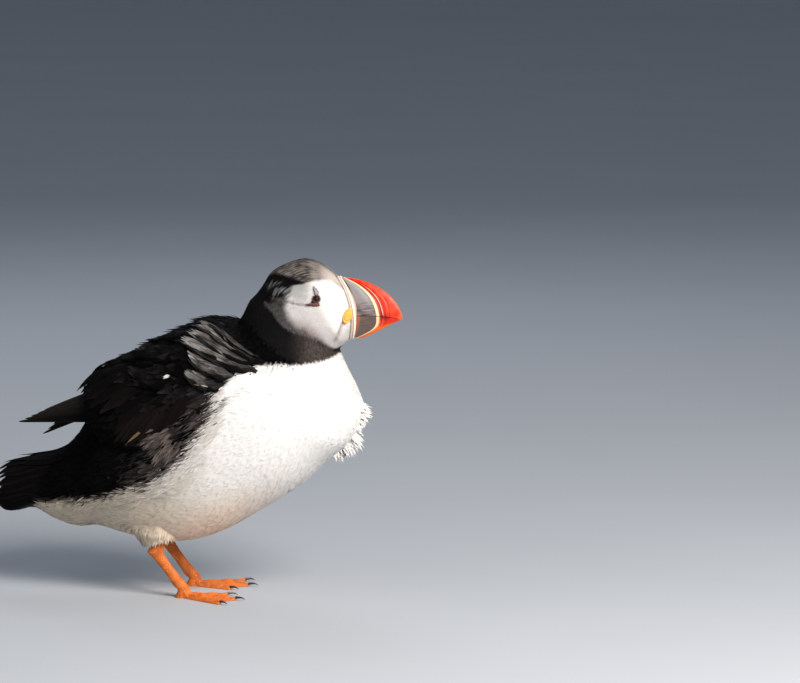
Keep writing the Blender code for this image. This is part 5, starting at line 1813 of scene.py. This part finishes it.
def make_breast_tufts():
    """Torn white tufts that the wind blows forward from the lower breast, each in several points.

    A tuft's strands turn from its upper edge to its lower one: station, tilt and length go with q.
    """
    rng = np.random.default_rng(101)
    groups = ((14.6, 1.1, -0.05, 0.65, 11.5, 8.2, 5), (13.3, 0.95, -0.55, 0.65, 11.5, 4.5, 4))
    parts = []
    for t0, span, tilt0, tilt_span, length0, shorter, points in groups:
        count = 130
        clump = rng.integers(0, points, count)
        q = (clump + 0.5 + 0.27 * rng.normal(size=count)) / points
        t = t0 - span * q + 0.06 * rng.normal(size=count)
        off = np.clip(rng.normal(size=count), -2, 2)  # most of them on the keel, shorter beside it
        deg = 180 + 2.6 * off
        tilt = tilt0 - tilt_span * q + 0.10 * rng.normal(size=count)
        aside = 0.12 * rng.normal(size=count) - 0.08
        way = unit(np.stack([np.cos(tilt), aside, np.sin(tilt)], axis=-1))
        length = (length0 - shorter * q) * rng.uniform(0.45, 1.0, count) * (1 - 0.18 * np.abs(off))
        parts.append((t, deg, way, length))
    t, deg, way, length = (np.concatenate(group) for group in zip(*parts))
    angle = np.radians(deg)
    normal = read(COAT_NORMAL, t, angle)
    root = coat_point(t, angle) - normal * 1.6
    count, rows = len(root), 7
    v = np.linspace(0, 1, rows)[None, :, None]
    centre = root[:, None] + (way[:, None] * v + np.array([-0.1, 0.0, -0.25]) * v**2 * 0.5) * (
        length[:, None, None] + 1.6
    )
    flank = np.where(deg < 180, -1.0, 1.0)[:, None] * np.array([0, 1.0, 0])
    up = np.broadcast_to(unit(flank + 0.3 * rng.normal(size=(count, 3)))[:, None], centre.shape)
    width = rng.uniform(1.4, 2.4, count)
    laid = centre, up, width, 0.08, ragged_cut(rng, count, 3, 0.25, 0.3)
    # whiter than the white plumage: painted light that lifts the shade among the strands; a little darker at
    # the root: painted shade
    tints = np.tile((0.97, 0.96, 0.95), (count, rows, 3, 1)) * (0.95 + 0.05 * v[..., None])
    place = rng.uniform(0.02, 0.98, (count, 2))
    piece = loose_vanes("breast_tufts", *laid, tints, place, root=0.9, tip=0.25, widest=0.4)
    ahead = unit((0.62, 0, 0.78) + 0.12 * rng.normal(size=(count, 3)))  # lit alike from both sides
    piece.data.normals_split_custom_set_from_vertices(np.repeat(ahead, rows * 3, axis=0))
    finish(piece, WHITE_PLUMAGE, "feathers_white")


# ---------------------------------------------------------------- floor, light and camera
def make_stage():
    """A pale floor that sweeps up far behind the bird: level, then a quarter circle, then upright."""
    u = np.linspace(0, 1, 60)
    bend = np.clip((u - 0.5) / 0.25, 0, 1) * HALF_TURN / 2
    radius = 2.0
    flat = np.minimum(u, 0.5) * 2 * 14.0 - 6.0
    y = flat + radius * np.sin(bend)
    z = radius * (1 - np.cos(bend)) + np.clip((u - 0.75) / 0.25, 0, 1) * 6.0
    x = np.linspace(-12, 12, 3)
    points = np.stack(np.broadcast_arrays(x[None, :], y[:, None], z[:, None]), axis=-1)
    number = np.arange(points[..., 0].size).reshape(points.shape[:2])
    quads = np.stack([number[:-1, :-1], number[:-1, 1:], number[1:, 1:], number[1:, :-1]], axis=-1)
    mesh = bpy.data.meshes.new("floor")
    mesh.from_pydata(points.reshape(-1, 3).tolist(), [], quads.reshape(-1, 4).tolist())
    mesh.shade_smooth()
    material = bpy.data.materials.new("pale floor")
    material.use_nodes = True
    tree = material.node_tree
    shader = tree.nodes["Principled BSDF"]
    shader.inputs["Roughness"].default_value = 0.85
    grain = placed(tree, GRAIN, Size=3.0, Fine_Size=60.0)
    ramp = node(tree, "ShaderNodeMix", data_type="RGBA")
    ramp.inputs["A"].default_value = (0.40, 0.43, 0.475, 1)
    ramp.inputs["B"].default_value = (0.45, 0.48, 0.525, 1)
    tree.links.new(grain.outputs["Shade"], ramp.inputs["Factor"])
    tree.links.new(ramp.outputs["Result"], shader.inputs["Base Color"])
    mesh.materials.append(material)
    add_object("floor", mesh)


def aimed(name, data, place, back):
    """A light or camera at a place, with its back turned to a given way."""
    made = add_object(name, data)
    made.location = place
    made.rotation_mode = "QUATERNION"
    made.rotation_quaternion = vector(back).to_track_quat("Z", "Y")
    return made


def make_light(name, way, distance, size, power, colour):
    """A square soft light that shines on the bird from a way given as a vector."""
    data = bpy.data.lights.new(name, "AREA")
    data.shape, data.size, data.energy, data.color = "SQUARE", size, power, colour
    way = np.array(way, float) / np.linalg.norm(way)
    aimed(name, data, way * distance + np.array([0, 0, 0.12]), way)


def vector(values):
    """A plain array as one of Blender's vectors."""
    return type(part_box("head")[0])(tuple(float(v) for v in values))


def make_lights():
    """A warm soft key high in front, a cool fill from behind, a rim from the far side, a soft sky."""
    make_light("key", (0.72, -0.62, 0.62), 1.6, 0.8, 44.0, (1.0, 0.93, 0.85))
    make_light("fill", (-0.8, -0.9, 0.5), 2.2, 1.6, 5.0, (0.9, 0.94, 1.0))
    make_light("rim", (-0.3, 0.9, 0.8), 2.0, 1.0, 7.0, (0.9, 0.95, 1.0))
    world = bpy.data.worlds.new("studio")
    world.use_nodes = True
    back = world.node_tree.nodes["Background"]
    back.inputs["Color"].default_value = (0.72, 0.80, 0.92, 1)
    back.inputs["Strength"].default_value = 0.27
    bpy.context.scene.world = world
    bpy.context.scene.view_settings.view_transform = "Standard"


CAMERA_TURN_DEG, CAMERA_RISE_DEG = 12.0, 7.0
CAMERA_DISTANCE, CAMERA_LENS = 2.782, 200.0
AIM_RIGHT, AIM_UP, AIM_SHIFT = 0.1252, 0.1606, (0.0, 0.0, -0.004)


def make_camera():
    """A long lens from the bird's right side, a little in front of it and a little above it."""
    turn, rise = math.radians(CAMERA_TURN_DEG), math.radians(CAMERA_RISE_DEG)
    right = np.array([math.cos(turn), math.sin(turn), 0])
    up = np.array([-math.sin(turn) * math.sin(rise), math.cos(turn) * math.sin(rise), math.cos(rise)])
    back = np.cross(right, up)
    aim = right * AIM_RIGHT + up * AIM_UP + AIM_SHIFT + SHIFT * MM
    data = bpy.data.cameras.new("camera")
    data.lens, data.sensor_width, data.clip_end = CAMERA_LENS, 36.0, 60.0
    bpy.context.scene.camera = aimed("camera", data, aim + back * CAMERA_DISTANCE, back)


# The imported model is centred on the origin; this shift brings the drawing's numbers to it.
SHIFT = np.zeros(3)
tip_rings = bill_surface(np.array([0.96]), CULMEN, 0.0, 7, lambda share, along: 0 * share * along)
SHIFT = np.array([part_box("bill_upper")[1].x / MM - float(tip_rings[..., 0].max()), 0.0, 0.0])

make_camera()
make_stage()
make_lights()
make_skin()
make_coat()
make_scapulars()
make_strands()
make_tail()
make_wing_quills()
make_thigh_tufts()
make_breast_tufts()
make_bill()
make_bill_ridge()
make_eyes()
make_rosettes()
make_legs()
